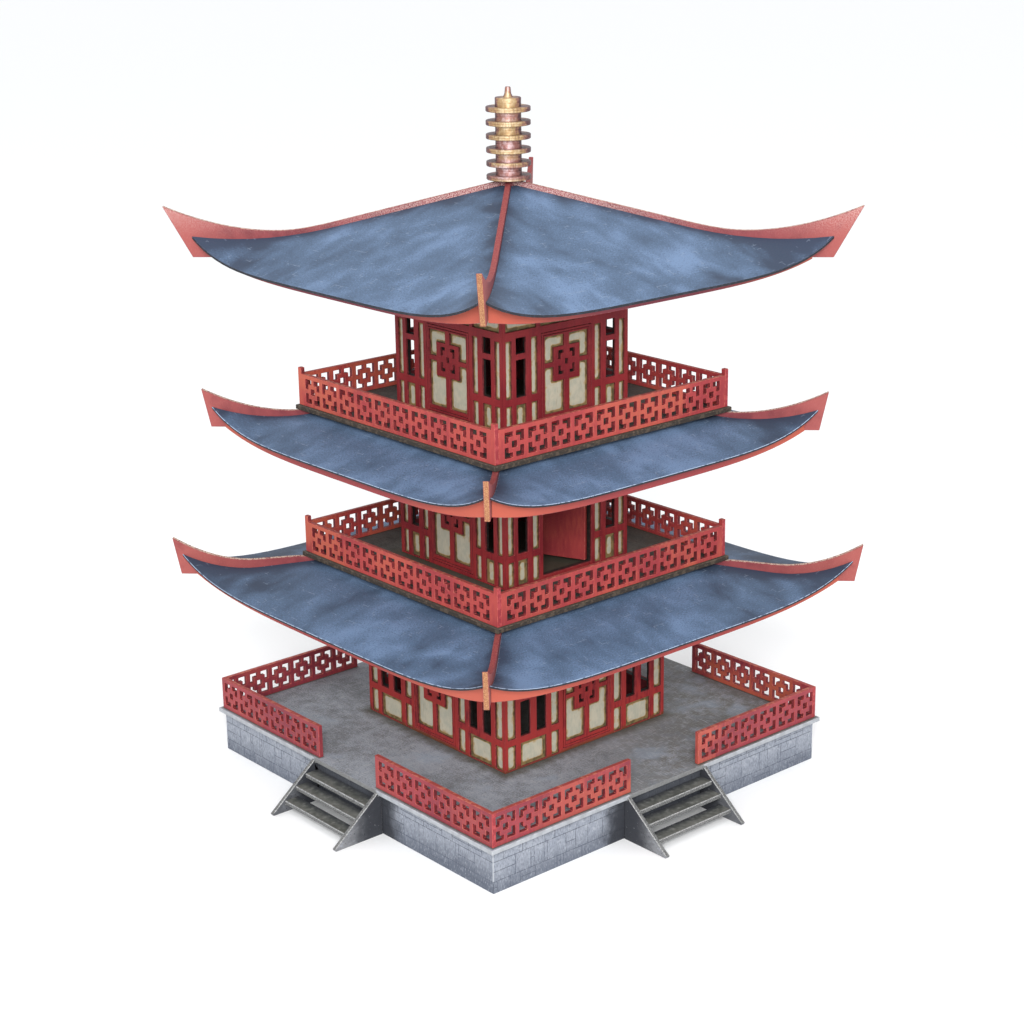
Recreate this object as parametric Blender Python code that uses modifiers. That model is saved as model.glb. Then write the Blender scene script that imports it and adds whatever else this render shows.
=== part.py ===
"""Three-storey pagoda, a painted fibreboard tabletop building at its own size.

Square plan on a stone-faced plinth, with three upswept roofs and a stacked
disc finial. The origin is at ground level on the vertical centre line, +Z is
up, the front side faces -Y. Lengths are given in millimetres and turned into
metres by MM. Every side is drawn as the front side and then turned about the
centre line by quarter turns.
"""

import math

import bmesh
import bpy
from mathutils import Matrix, Vector

MM = 0.001
GAP = 0.3            # between pieces that touch
SHEET = 2.0          # fibreboard of decks, floors, plinth, treads and rails
OVERRUN = 1.0        # how far a cutter reaches past the piece it cuts
SAME_POINT = 1e-6    # metres; closer points are one
SAME_PLANE = 1e-4    # radians; flatter edges are dissolved
SIDES = ("front", "right", "back", "left")

# Plinth, deck and flights of steps
PLINTH_HALF = 97.8
DECK_HALF = 100.0
DECK_TOP = 21.0
STAIR_HALF_WIDTH = 24.2
STAIR_FOOT = 123.6
STAIR_TOE = ((-1.2, 0.0), (-0.3, 0.3), (0.0, 0.9), (-0.5, 1.6))   # rounded, measured from the foot
STAIR_TOP = 20.15
TREAD_TOPS = (15.1, 10.7, 5.6)
TREAD_FRONTS = (105.4, 111.0, 117.0)
TREAD_DEPTH = 7.2

# Walls: a backing board with a thinner raised frame in front
BACKING = 2.0
RAISED = 1.0
WALL = BACKING + RAISED
LIP = 0.2            # step between the edges of backing and frame, and the glue overlap
GROUND_HALF = 48.8
UPPER_HALF = 36.5
FLOOR_HALF = 69.2
FLOOR_2_TOP = 99.9
FLOOR_3_TOP = 169.7
TOP_WALL_END = 250.0

# Heights above a storey's floor
LOW_PANEL = (0.9, 12.2)
WINDOW_SILL = 15.3
WINDOW_TRANSOM = (31.7, 34.2)
WINDOW_HEAD = 41.2
TALL_PANEL = (15.3, 40.4)
FRIEZE_PANEL = (44.2, 54.0)

# Door: half widths from the centre line and heights above the floor
DOORWAY_HALF = 14.5
DOORWAY_HEIGHTS = (2.0, 41.2)
DOOR_FREE_EDGE = 14.0
DOOR_FRAME_INNER = 12.6
DOOR_STILE_HALF = 1.4
DOOR_PANEL_HEIGHTS = (5.0, 39.0)
DOOR_BAR_HEIGHTS = (25.4, 27.4)
DOOR_MOTIF_HALF = 7.5
DOOR_MOTIF_HEIGHTS = (18.9, 33.8)
OPEN_DOOR_ANGLE = 67.0

# Bays from the centre line outwards, as (inner edge, outer edge)
GROUND_BAYS = {
    "narrow": ((16.9, 21.4), (42.3, 46.9)),
    "lights": ((24.5, 30.1), (33.8, 39.5)),
    "wide": (24.5, 39.5),
    "frieze": ((-20.0, 20.0), (23.0, 46.9)),
}
UPPER_BAYS = {
    "narrow": ((16.6, 20.2), (31.2, 34.5)),
    "lights": ((23.2, 28.9),),
    "wide": (23.2, 28.9),
    "frieze": ((-15.0, 15.0), (17.2, 34.5)),
}

# Railings: the pierced panel's modules
RAIL_MODULE_HOLE = 10.4
GROUND_RAIL_HALF = 98.4
GROUND_RAIL_START = 20.6
GROUND_RAIL_FIRST_HOLE = 23.0
GROUND_RAIL_PITCH = 12.6
GROUND_RAIL_MODULES = 6
GROUND_RAIL_HEIGHTS = (2.2, 13.3, 15.3)
FLOOR_RAIL_HALF = 67.9
FLOOR_RAIL_POST = 2.4
FLOOR_RAIL_PITCH = 12.75
FLOOR_RAIL_MODULES = 10
FLOOR_RAIL_HEIGHTS = (1.8, 12.7, 14.6)
FLOOR_RAIL_POST_TOP = 17.3

# Roofs. A slope is flat along its middle line and curls up towards the hips.
# Distances are half widths of the square at that height.
ROOFS = {
    "roof_1": {
        "apex": 109.2, "slope": 0.20, "curl_start": 83.5, "curl": 0.0177,
        "inner": 60.0, "eave": 109.6, "tip": 111.8, "foot": 109.4, "foot_z": 88.5,
        "rib_gain": 3.0, "rib_power": 0.7, "fascia": 105.2, "fascia_mid": 82.2, "fascia_rise": 6.9,
        "wall_half": GROUND_HALF, "carried_floor": FLOOR_2_TOP - SHEET,
    },
    "roof_2": {
        "apex": 182.2, "slope": 0.25, "curl_start": 65.0, "curl": 0.0117,
        "inner": 61.0, "eave": 97.0, "tip": 99.2, "foot": 96.6, "foot_z": 159.3,
        "rib_gain": 3.8, "rib_power": 1.2, "fascia": 92.8, "fascia_mid": 152.6, "fascia_rise": 6.9,
        "wall_half": UPPER_HALF, "carried_floor": FLOOR_3_TOP - SHEET,
    },
    "roof_3": {
        "apex": 269.3, "slope": 0.345, "curl_start": 55.0, "curl": 0.0061,
        "inner": 3.2, "eave": 100.0, "tip": 108.0, "foot": 99.2, "foot_z": 236.8,
        "rib_gain": 8.2, "rib_power": 1.5, "fascia": 93.6, "fascia_mid": 230.7, "fascia_rise": 5.9,
        "wall_half": UPPER_HALF, "carried_floor": None,
    },
}
CURL_POWER = 5
FASCIA_POWER = 4
SHELL = 1.0
KING_POST_HALF = 2.4
RIB_WIDTH = 2.3
RIB_HEIGHT = 1.9
RIB_GROWTH_START = 66.0
RIB_CAPPED_WITHIN = FLOOR_HALF + 3.0   # a hip stays under the floor it carries up to here
SHELL_COLUMNS = 8
SHELL_ROWS = 6
RIB_STEPS = 20
FASCIA_STEPS = 16
FASCIA_SPARE = 5.0   # a fascia board's height above the shell before it is trimmed
FASCIA_TRIM = 40.0   # height of the cutter that trims it

# Finial: six discs on drums, then a drum and a tapered tip
FINIAL_BASE = 270.9
DISC_RADIUS = 9.7
DISC_COUNT = 6
DISC_PITCH = 5.8
DRUM_RADIUS = 5.65
TIP_RADIUS = 2.15
TIP_TOP_RADIUS = 1.15
TIP_ROUNDING = 0.3
TIP_BASE = 305.7
FINIAL_TOP = 310.2
FINIAL_STEPS = 16

COLOURS = {
    "red": ((0.52, 0.09, 0.08), 0.6, 0.0),
    "slate": ((0.12, 0.16, 0.25), 0.75, 0.0),
    "stone": ((0.30, 0.31, 0.34), 0.85, 0.0),
    "umber": ((0.14, 0.12, 0.09), 0.85, 0.0),
    "brass": ((0.60, 0.36, 0.22), 0.45, 0.6),
}


def clear_scene():
    for item in list(bpy.data.objects):
        bpy.data.objects.remove(item)


def make_collection(name):
    group = bpy.data.collections.new(name)
    bpy.context.scene.collection.children.link(group)
    return group


def make_material(name, paint):
    colour, roughness, metallic = COLOURS[paint]
    material = bpy.data.materials.new(name)
    material.use_nodes = True
    shader = material.node_tree.nodes["Principled BSDF"]
    shader.inputs["Base Color"].default_value = (*colour, 1.0)
    shader.inputs["Roughness"].default_value = roughness
    shader.inputs["Metallic"].default_value = metallic
    material.diffuse_color = (*colour, 1.0)
    return material


def place(name, mesh, paint, turn=0, group=None):
    """Link a named piece, turned about the centre line by quarter turns."""
    if not mesh.materials:
        mesh.materials.append(make_material(name, paint))
    piece = bpy.data.objects.new(name, mesh)
    piece.rotation_euler = (0.0, 0.0, turn * math.pi / 2)
    (group or PARTS).objects.link(piece)
    return piece


def to_mesh(bm, name):
    bmesh.ops.recalc_face_normals(bm, faces=bm.faces)
    mesh = bpy.data.meshes.new(name)
    bm.to_mesh(mesh)
    bm.free()
    return mesh


def box_mesh(name, low, high):
    """A box between two corners given in millimetres."""
    bm = bmesh.new()
    low, high = Vector(low) * MM, Vector(high) * MM
    bmesh.ops.create_cube(bm, size=1.0)
    bmesh.ops.scale(bm, vec=high - low, verts=bm.verts)
    bmesh.ops.translate(bm, vec=(low + high) / 2, verts=bm.verts)
    return to_mesh(bm, name)


def merge_flat_faces(bm):
    bm.normal_update()
    bmesh.ops.dissolve_limit(bm, angle_limit=SAME_PLANE, verts=bm.verts, edges=bm.edges)


def rectangle(x0, x1, z0, z1):
    return [(x0, z0), (x1, z0), (x1, z1), (x0, z1)]


def extruded_mesh(name, outlines, back, front):
    """Upright flat shapes in the front wall's plane, from outlines in (x, z).

    They fill y from -front to -back.
    """
    curve = bpy.data.curves.new(name, "CURVE")
    curve.dimensions = "2D"
    curve.fill_mode = "BOTH"
    curve.extrude = (front - back) / 2 * MM
    for outline in outlines:
        spline = curve.splines.new("POLY")
        spline.points.add(len(outline) - 1)
        for point, (x, z) in zip(spline.points, outline):
            point.co = (x * MM, z * MM, 0.0, 1.0)
        spline.use_cyclic_u = True
    holder = bpy.data.objects.new(name, curve)
    bpy.context.scene.collection.objects.link(holder)
    graph = bpy.context.evaluated_depsgraph_get()
    mesh = bpy.data.meshes.new_from_object(holder.evaluated_get(graph))
    bpy.data.objects.remove(holder)
    bm = bmesh.new()
    bm.from_mesh(mesh)
    bpy.data.meshes.remove(mesh)
    bmesh.ops.remove_doubles(bm, verts=bm.verts, dist=SAME_POINT)
    merge_flat_faces(bm)
    bm.transform(Matrix.Rotation(math.pi / 2, 4, "X"))
    bmesh.ops.translate(bm, vec=(0.0, -(front + back) / 2 * MM, 0.0), verts=bm.verts)
    return to_mesh(bm, name)


def board_mesh(name, outlines, back, front):
    """A flat board: the first outline is its edge, the others are holes in it."""
    board = extruded_mesh(name, outlines[:1], back, front)
    if not outlines[1:]:
        return board
    holes = extruded_mesh(name + "_holes", outlines[1:], back - OVERRUN, front + OVERRUN)
    return combine(name, [board, holes], "DIFFERENCE")


def combine(name, meshes, operation="UNION", flat=True):
    """Join or cut the first mesh by each of the others, in turn.

    flat merges the result's coplanar faces, which a curved piece doesn't need.
    """
    base = bpy.data.objects.new(name, meshes[0])
    CUTTERS.objects.link(base)
    tools = []
    for mesh in meshes[1:]:
        tool = bpy.data.objects.new(name + "_tool", mesh)
        tool.hide_render = True
        tool.display_type = "WIRE"
        CUTTERS.objects.link(tool)
        tools.append(tool)
        modifier = base.modifiers.new("combine", "BOOLEAN")
        modifier.operation = operation
        modifier.solver = "EXACT"
        modifier.object = tool
    graph = bpy.context.evaluated_depsgraph_get()
    result = bpy.data.meshes.new_from_object(base.evaluated_get(graph))
    for item in [base, *tools]:
        bpy.data.objects.remove(item)
    bm = bmesh.new()
    bm.from_mesh(result)
    bmesh.ops.remove_doubles(bm, verts=bm.verts, dist=SAME_POINT)
    if flat:
        merge_flat_faces(bm)
    else:
        bmesh.ops.triangulate(bm, faces=bm.faces)
    bpy.data.meshes.remove(result)
    return to_mesh(bm, name)


def turned_copy(mesh, angle):
    copy = mesh.copy()
    copy.transform(Matrix.Rotation(angle, 4, "Z"))
    return copy


# Plinth, deck and steps

def make_plinth():
    inner = PLINTH_HALF - SHEET
    top = DECK_TOP - SHEET - GAP
    block = box_mesh("block", (-PLINTH_HALF, -PLINTH_HALF, 0), (PLINTH_HALF, PLINTH_HALF, top))
    hollow = box_mesh("hollow", (-inner, -inner, -OVERRUN), (inner, inner, top + OVERRUN))
    place("plinth_walls", combine("plinth_walls", [block, hollow], "DIFFERENCE"), "stone")


def make_deck():
    low = (-DECK_HALF, -DECK_HALF, DECK_TOP - SHEET)
    place("deck", box_mesh("deck", low, (DECK_HALF, DECK_HALF, DECK_TOP)), "stone")


def cheek_outline():
    """Side view of a stair cheek: distance from the centre line, and height.

    It is notched round the deck's edge, against which its top end stands.
    """
    back = PLINTH_HALF + GAP
    under_deck = DECK_TOP - SHEET - GAP
    head = DECK_HALF + GAP
    toe = [(STAIR_FOOT + out, z) for out, z in STAIR_TOE]
    return [(back, 0.0), *toe, (head, STAIR_TOP), (head, under_deck), (back, under_deck)]


def make_stairs():
    inner = STAIR_HALF_WIDTH - SHEET
    meshes = []
    for back, front in ((inner, STAIR_HALF_WIDTH), (-STAIR_HALF_WIDTH, -inner)):
        cheek = board_mesh("cheek", [cheek_outline()], back, front)
        cheek.transform(Matrix.Rotation(-math.pi / 2, 4, "Z"))
        meshes.append(cheek)
    reach = inner + SHEET / 2
    for top, front in zip(TREAD_TOPS, TREAD_FRONTS):
        back = max(front - TREAD_DEPTH, PLINTH_HALF + GAP)
        meshes.append(box_mesh("tread", (-reach, -front, top - SHEET), (reach, -back, top)))
    flight = combine("stair", meshes)
    for turn, side in enumerate(SIDES):
        place("stair_" + side, flight, "stone", turn)


# Railings

def mitre(mesh, gap=GAP, ends=(-1, 1)):
    """Cut a front-side board's ends along the diagonals of the plan."""
    bm = bmesh.new()
    bm.from_mesh(mesh)
    for end in ends:
        normal = Vector((end, 1.0, 0.0)).normalized()
        cut = bmesh.ops.bisect_plane(
            bm, geom=bm.verts[:] + bm.edges[:] + bm.faces[:], dist=SAME_POINT / 10,
            plane_co=-normal * gap / 2 * MM, plane_no=normal, clear_outer=True,
        )
        rim = [item for item in cut["geom_cut"] if isinstance(item, bmesh.types.BMEdge)]
        bmesh.ops.contextual_create(bm, geom=rim)
    mesh.clear_geometry()
    bmesh.ops.recalc_face_normals(bm, faces=bm.faces)
    bm.to_mesh(mesh)
    bm.free()
    return mesh


def module_holes(first, pitch, count, heights):
    low, high, _ = heights
    starts = [first + pitch * i for i in range(count)]
    return [rectangle(x, x + RAIL_MODULE_HOLE, low, high) for x in starts]


def lifted(outlines, height):
    return [[(x, z + height) for x, z in outline] for outline in outlines]


def make_ground_rails():
    edge = rectangle(GROUND_RAIL_START, GROUND_RAIL_HALF, GAP, GROUND_RAIL_HEIGHTS[2])
    holes = module_holes(
        GROUND_RAIL_FIRST_HOLE, GROUND_RAIL_PITCH, GROUND_RAIL_MODULES, GROUND_RAIL_HEIGHTS
    )
    for hand, sign in (("right", 1), ("left", -1)):
        outlines = [[(sign * x, z) for x, z in outline] for outline in [edge, *holes]]
        outlines = lifted(outlines, DECK_TOP)
        panel = board_mesh("ground_rail", outlines, GROUND_RAIL_HALF - SHEET, GROUND_RAIL_HALF)
        mitre(panel, ends=(sign,))
        for turn, side in enumerate(SIDES):
            place(f"ground_rail_{side}_{hand}", panel, "red", turn)


def make_floor_rails(storey, floor):
    half, top, post = FLOOR_RAIL_HALF, FLOOR_RAIL_HEIGHTS[2], FLOOR_RAIL_POST_TOP
    shoulder = half - FLOOR_RAIL_POST
    edge = [(-half, GAP), (half, GAP), (half, post), (shoulder, post), (shoulder, top)]
    edge += [(-shoulder, top), (-shoulder, post), (-half, post)]
    span = FLOOR_RAIL_PITCH * (FLOOR_RAIL_MODULES - 1) + RAIL_MODULE_HOLE
    holes = module_holes(-span / 2, FLOOR_RAIL_PITCH, FLOOR_RAIL_MODULES, FLOOR_RAIL_HEIGHTS)
    panel = board_mesh("rail", lifted([edge, *holes], floor), half - SHEET, half)
    mitre(panel)
    for turn, side in enumerate(SIDES):
        place(f"rail_{storey}_{side}", panel, "red", turn)


def make_floor(storey, top):
    low = (-FLOOR_HALF, -FLOOR_HALF, top - SHEET)
    mesh = box_mesh("floor", low, (FLOOR_HALF, FLOOR_HALF, top))
    place(f"floor_{storey}", mesh, "umber")


# Walls and doors

def both_sides(spans, heights, ease=0.0):
    """Rectangles for spans given on the right-hand side, and their mirrors."""
    low, high = heights[0] - ease, heights[1] + ease
    found = []
    for inner, outer in spans:
        found.append(rectangle(inner - ease, outer + ease, low, high))
        found.append(rectangle(-outer - ease, -inner + ease, low, high))
    return found


def window_holes(bays, ease=0.0):
    lower = both_sides(bays["lights"], (WINDOW_SILL, WINDOW_TRANSOM[0]), ease)
    upper = both_sides(bays["lights"], (WINDOW_TRANSOM[1], WINDOW_HEAD), ease)
    return lower + upper


def panel_holes(bays):
    """Recessed panels of the raised frame, beside and above the door."""
    panels = both_sides(bays["narrow"], LOW_PANEL) + both_sides(bays["narrow"], TALL_PANEL)
    panels += both_sides([bays["wide"]], LOW_PANEL)
    centre, outer = bays["frieze"]
    panels.append(rectangle(*centre, *FRIEZE_PANEL))
    panels += both_sides([outer], FRIEZE_PANEL)
    return panels


def door_panels():
    """Four L-shaped recesses round the door's square motif."""
    side, stile, motif = DOOR_FRAME_INNER, DOOR_STILE_HALF, DOOR_MOTIF_HALF
    bottom, top = DOOR_PANEL_HEIGHTS
    bar_low, bar_high = DOOR_BAR_HEIGHTS
    motif_low, motif_high = DOOR_MOTIF_HEIGHTS
    right = []
    for end, bar, motif_end in ((top, bar_high, motif_high), (bottom, bar_low, motif_low)):
        outer = [(stile, end), (side, end), (side, bar)]
        right.append(outer + [(motif, bar), (motif, motif_end), (stile, motif_end)])
    left = [[(-x, z) for x, z in outline] for outline in right]
    return right + left


def wall_mesh(name, half, floor, top, bays, open_doorway):
    """One wall in the front wall's plane, its ends mitred at the corners."""
    low, high = DOORWAY_HEIGHTS
    holes = window_holes(bays)
    frame_holes = window_holes(bays, LIP) + panel_holes(bays)
    if open_doorway:
        holes.append(rectangle(-DOORWAY_HALF, DOORWAY_HALF, low, high))
        frame_holes.append(
            rectangle(-DOORWAY_HALF - LIP, DOORWAY_HALF + LIP, low - LIP, high + LIP)
        )
    else:
        frame_holes += door_panels()
    edge = rectangle(-half, half, floor + GAP, top)
    frame_edge = rectangle(-half - LIP, half + LIP, floor + GAP + LIP, top - LIP)
    backing = board_mesh(name, [edge, *lifted(holes, floor)], half - WALL, half - RAISED)
    raised = board_mesh(
        name, [frame_edge, *lifted(frame_holes, floor)], half - RAISED - LIP, half
    )
    return mitre(combine(name, [backing, raised]))


def leaf_mesh(half, floor):
    """A door leaf in its doorway, the hinge at its right-hand edge."""
    low = floor + DOORWAY_HEIGHTS[0] + GAP
    high = floor + DOORWAY_HEIGHTS[1] - GAP
    left, right = -DOOR_FREE_EDGE, DOORWAY_HALF - GAP
    edge = rectangle(left, right, low, high)
    frame_edge = rectangle(left + LIP, right - LIP, low + LIP, high - LIP)
    plate = board_mesh("leaf", [edge], half - WALL, half - RAISED)
    raised = board_mesh(
        "leaf", [frame_edge, *lifted(door_panels(), floor)], half - RAISED - LIP, half
    )
    return combine("leaf", [plate, raised])


def hinge_point(half):
    """The leaf turns about its inner edge at the right-hand jamb."""
    return Vector((DOORWAY_HALF - GAP, -(half - WALL), 0.0)) * MM


def make_ground_walls():
    top = FLOOR_2_TOP - SHEET - GAP
    wall = wall_mesh("wall_1", GROUND_HALF, DECK_TOP, top, GROUND_BAYS, True)
    leaf = leaf_mesh(GROUND_HALF, DECK_TOP)
    hinge = hinge_point(GROUND_HALF)
    leaf.transform(Matrix.Translation(-hinge))
    for turn, side in enumerate(SIDES):
        place(f"wall_1_{side}", wall, "red", turn)
        door = place(f"door_1_{side}", leaf, "red", turn)
        door.location = Matrix.Rotation(turn * math.pi / 2, 3, "Z") @ hinge


def make_upper_walls(storey, floor, top, open_side):
    closed = wall_mesh(f"wall_{storey}", UPPER_HALF, floor, top, UPPER_BAYS, False)
    opened = wall_mesh(f"wall_{storey}_open", UPPER_HALF, floor, top, UPPER_BAYS, True)
    for turn, side in enumerate(SIDES):
        place(f"wall_{storey}_{side}", opened if side == open_side else closed, "red", turn)


def make_open_door():
    """The second storey's right-hand leaf, standing open into the room."""
    low = FLOOR_2_TOP + DOORWAY_HEIGHTS[0] + GAP
    high = FLOOR_2_TOP + DOORWAY_HEIGHTS[1] - GAP
    edge = rectangle(-DOOR_FREE_EDGE, DOORWAY_HALF - GAP, low, high)
    leaf = board_mesh("open_leaf", [edge], UPPER_HALF - WALL, UPPER_HALF - RAISED)
    hinge = hinge_point(UPPER_HALF)
    leaf.transform(Matrix.Translation(-hinge))
    turn = SIDES.index("right")
    door = place("door_2_right", leaf, "red", turn)
    door.location = Matrix.Rotation(turn * math.pi / 2, 3, "Z") @ hinge
    door.rotation_euler.z -= math.radians(OPEN_DOOR_ANGLE)


# Roofs

def hip_height(roof, distance):
    """Height of the shell's top surface along a hip."""
    curl = max(0.0, distance - roof["curl_start"])
    return roof["apex"] - roof["slope"] * distance + roof["curl"] * curl**2


def shell_height(roof, distance, across):
    """Height of the shell's top surface, across running from -1 to 1."""
    flat = roof["apex"] - roof["slope"] * distance
    return flat + (hip_height(roof, distance) - flat) * abs(across) ** CURL_POWER


def shell_mesh(roof, above=0.0, below=SHELL, margin=0.0):
    """The four slopes as one curved sheet of even thickness.

    above and below move its two faces, and margin widens it, for cutters.
    """
    inner, eave = roof["inner"] - margin, roof["eave"] + margin
    bm = bmesh.new()
    bmesh.ops.create_grid(bm, x_segments=SHELL_COLUMNS, y_segments=SHELL_ROWS, size=1.0)
    for vert in bm.verts:
        across = math.sin(vert.co.x * math.pi / 2)
        distance = inner + (eave - inner) * (vert.co.y + 1) / 2
        height = shell_height(roof, distance, across) + above
        vert.co = Vector((across * distance, -distance, height)) * MM
    slope = bm.faces[:]
    for turn in (1, 2, 3):
        copied = bmesh.ops.duplicate(bm, geom=slope)
        verts = [item for item in copied["geom"] if isinstance(item, bmesh.types.BMVert)]
        bmesh.ops.rotate(bm, verts=verts, matrix=Matrix.Rotation(turn * math.pi / 2, 3, "Z"))
    bmesh.ops.remove_doubles(bm, verts=bm.verts, dist=SAME_POINT)
    lower = bmesh.ops.extrude_face_region(bm, geom=bm.faces[:], use_keep_orig=True)
    verts = [item for item in lower["geom"] if isinstance(item, bmesh.types.BMVert)]
    bmesh.ops.translate(bm, vec=(0.0, 0.0, -(above + below) * MM), verts=verts)
    bmesh.ops.triangulate(bm, faces=bm.faces)
    return to_mesh(bm, "shell")


def rib_top(roof, distance):
    growth = max(0.0, distance - RIB_GROWTH_START) / (roof["tip"] - RIB_GROWTH_START)
    height = hip_height(roof, distance) + RIB_HEIGHT + roof["rib_gain"] * growth ** roof["rib_power"]
    cap = FINIAL_BASE if roof["carried_floor"] is None else roof["carried_floor"]
    return min(height, cap - GAP) if distance < RIB_CAPPED_WITHIN else height


def hip_outline(roof):
    """Side view of a hip board along the diagonal, from its inner end out."""
    at_top = roof["carried_floor"] is None
    corner = roof["wall_half"] + GAP
    start = KING_POST_HALF / 2 if at_top else corner
    distances = [start + (roof["tip"] - start) * i / RIB_STEPS for i in range(RIB_STEPS + 1)]
    outline = [(roof["foot"], roof["foot_z"]), (corner, roof["foot_z"])]
    if at_top:
        outline += [(corner, TOP_WALL_END + GAP), (start, TOP_WALL_END + GAP)]
    outline += [(distance, rib_top(roof, distance)) for distance in distances]
    return [(distance * math.sqrt(2), z) for distance, z in outline]


def hip_mesh(roof):
    """One hip board, at the front right corner."""
    board = board_mesh("hip", [hip_outline(roof)], -RIB_WIDTH / 2, RIB_WIDTH / 2)
    board.transform(Matrix.Rotation(-math.pi / 4, 4, "Z"))
    return board


def fascia_outline(roof):
    half = roof["fascia"]
    lower = []
    for i in range(FASCIA_STEPS + 1):
        across = math.sin((2 * i / FASCIA_STEPS - 1) * math.pi / 2)
        height = roof["fascia_mid"] + roof["fascia_rise"] * across**FASCIA_POWER
        lower.append((across * half, height))
    above = hip_height(roof, half) + FASCIA_SPARE
    return lower + [(half, above), (-half, above)]


def fascia_mesh(roof):
    """One fascia board, fitted under the shell; its ends stop inside the hips."""
    board = board_mesh("fascia", [fascia_outline(roof)], roof["fascia"] - SHEET, roof["fascia"])
    mitre(board, gap=RIB_WIDTH / 2)
    cover = shell_mesh(roof, above=FASCIA_TRIM, below=SHELL + GAP + LIP, margin=GAP)
    return combine("fascia", [board, cover], "DIFFERENCE", flat=False)


def four_round(mesh):
    """Four copies of a mesh, a quarter turn apart, as one mesh."""
    bm = bmesh.new()
    for turn in range(4):
        copy = turned_copy(mesh, turn * math.pi / 2)
        bm.from_mesh(copy)
        bpy.data.meshes.remove(copy)
    return to_mesh(bm, mesh.name)


def frame_mesh(roof):
    """Hip boards and fascia boards joined at the corners, slotted for the shell."""
    pieces = [four_round(hip_mesh(roof)), four_round(fascia_mesh(roof))]
    if roof["carried_floor"] is None:
        half, low, high = KING_POST_HALF, TOP_WALL_END - OVERRUN, FINIAL_BASE - 2 * GAP
        pieces.append(box_mesh("king_post", (-half, -half, low), (half, half, high)))
    frame = combine("frame", pieces, flat=False)
    slot = shell_mesh(roof, above=GAP, below=SHELL + GAP, margin=GAP)
    return combine("frame", [frame, slot], "DIFFERENCE", flat=False)


def make_roofs():
    for name, roof in ROOFS.items():
        place(name + "_shell", shell_mesh(roof), "slate")
        place(name + "_frame", frame_mesh(roof), "red")


# Finial

def finial_profile():
    """Radius and height, from the tip down."""
    profile = [(0.0, FINIAL_TOP), (TIP_TOP_RADIUS, FINIAL_TOP - TIP_ROUNDING), (TIP_RADIUS, TIP_BASE)]
    profile.append((DRUM_RADIUS, TIP_BASE))
    for i in reversed(range(DISC_COUNT)):
        low = FINIAL_BASE + DISC_PITCH * i
        profile += [(DRUM_RADIUS, low + SHEET), (DISC_RADIUS, low + SHEET), (DISC_RADIUS, low)]
        if i:
            profile.append((DRUM_RADIUS, low))
    profile.append((0.0, FINIAL_BASE))
    return profile


def make_finial():
    points = [(radius * MM, 0.0, z * MM) for radius, z in finial_profile()]
    mesh = bpy.data.meshes.new("finial")
    mesh.from_pydata(points, [(i, i + 1) for i in range(len(points) - 1)], [])
    piece = place("finial", mesh, "brass")
    screw = piece.modifiers.new("turn", "SCREW")
    screw.steps = FINIAL_STEPS
    screw.render_steps = FINIAL_STEPS
    screw.use_merge_vertices = True
    screw.merge_threshold = 10 * SAME_POINT


clear_scene()
PARTS = make_collection("pagoda")
CUTTERS = make_collection("cutters")
make_plinth()
make_deck()
make_stairs()
make_ground_rails()
make_ground_walls()
make_roofs()
make_floor(2, FLOOR_2_TOP)
make_floor_rails(2, FLOOR_2_TOP)
make_upper_walls(2, FLOOR_2_TOP, FLOOR_3_TOP - SHEET - GAP, "right")
make_open_door()
make_floor(3, FLOOR_3_TOP)
make_floor_rails(3, FLOOR_3_TOP)
make_upper_walls(3, FLOOR_3_TOP, TOP_WALL_END, None)
make_finial()
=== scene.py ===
# %% [markdown]
# # A tabletop pagoda of painted fibreboard
#
# The real object is a small kit: flat sheets of fibreboard, cut by laser, glued edge to edge and
# painted in a few thin coats. The solid model gives every sheet its place and its size. This lesson
# dresses it: pierced railings, panelled walls with a hand-painted infill, brushed slate roofs, cut
# stone, and a finial of stacked discs.
#
# Lengths are written in millimetres, as a model maker would, and turned into metres by MM.

# %% Load the solid model
import math
import random

import bmesh
import bpy
from mathutils import Matrix, Vector


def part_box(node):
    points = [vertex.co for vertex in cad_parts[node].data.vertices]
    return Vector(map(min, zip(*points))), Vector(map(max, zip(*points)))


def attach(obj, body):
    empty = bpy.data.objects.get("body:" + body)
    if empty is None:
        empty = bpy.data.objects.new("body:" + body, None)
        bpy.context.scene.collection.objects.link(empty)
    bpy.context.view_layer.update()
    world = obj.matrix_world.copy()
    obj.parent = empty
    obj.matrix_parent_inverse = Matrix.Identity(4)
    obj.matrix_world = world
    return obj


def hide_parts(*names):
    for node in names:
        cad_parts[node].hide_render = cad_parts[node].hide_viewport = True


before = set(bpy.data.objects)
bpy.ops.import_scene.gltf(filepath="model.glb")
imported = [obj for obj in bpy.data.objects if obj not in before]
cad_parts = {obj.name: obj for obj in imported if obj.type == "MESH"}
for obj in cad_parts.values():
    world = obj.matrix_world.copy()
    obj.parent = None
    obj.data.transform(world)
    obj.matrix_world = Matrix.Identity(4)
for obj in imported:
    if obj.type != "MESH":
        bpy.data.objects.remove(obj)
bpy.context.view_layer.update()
MM = 0.001
SIDES = ("front", "right", "back", "left")
print("nodes in the solid model:", len(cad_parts))

# %% [markdown]
# ## Sizes that come from the solid model
#
# The dressed pieces must sit exactly where their solids are, so the storeys' heights and half
# widths are measured on the solids and not typed in again.

# %% Measure the storeys
def low_corner(node):
    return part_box(node)[0] / MM


def high_corner(node):
    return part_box(node)[1] / MM


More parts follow.
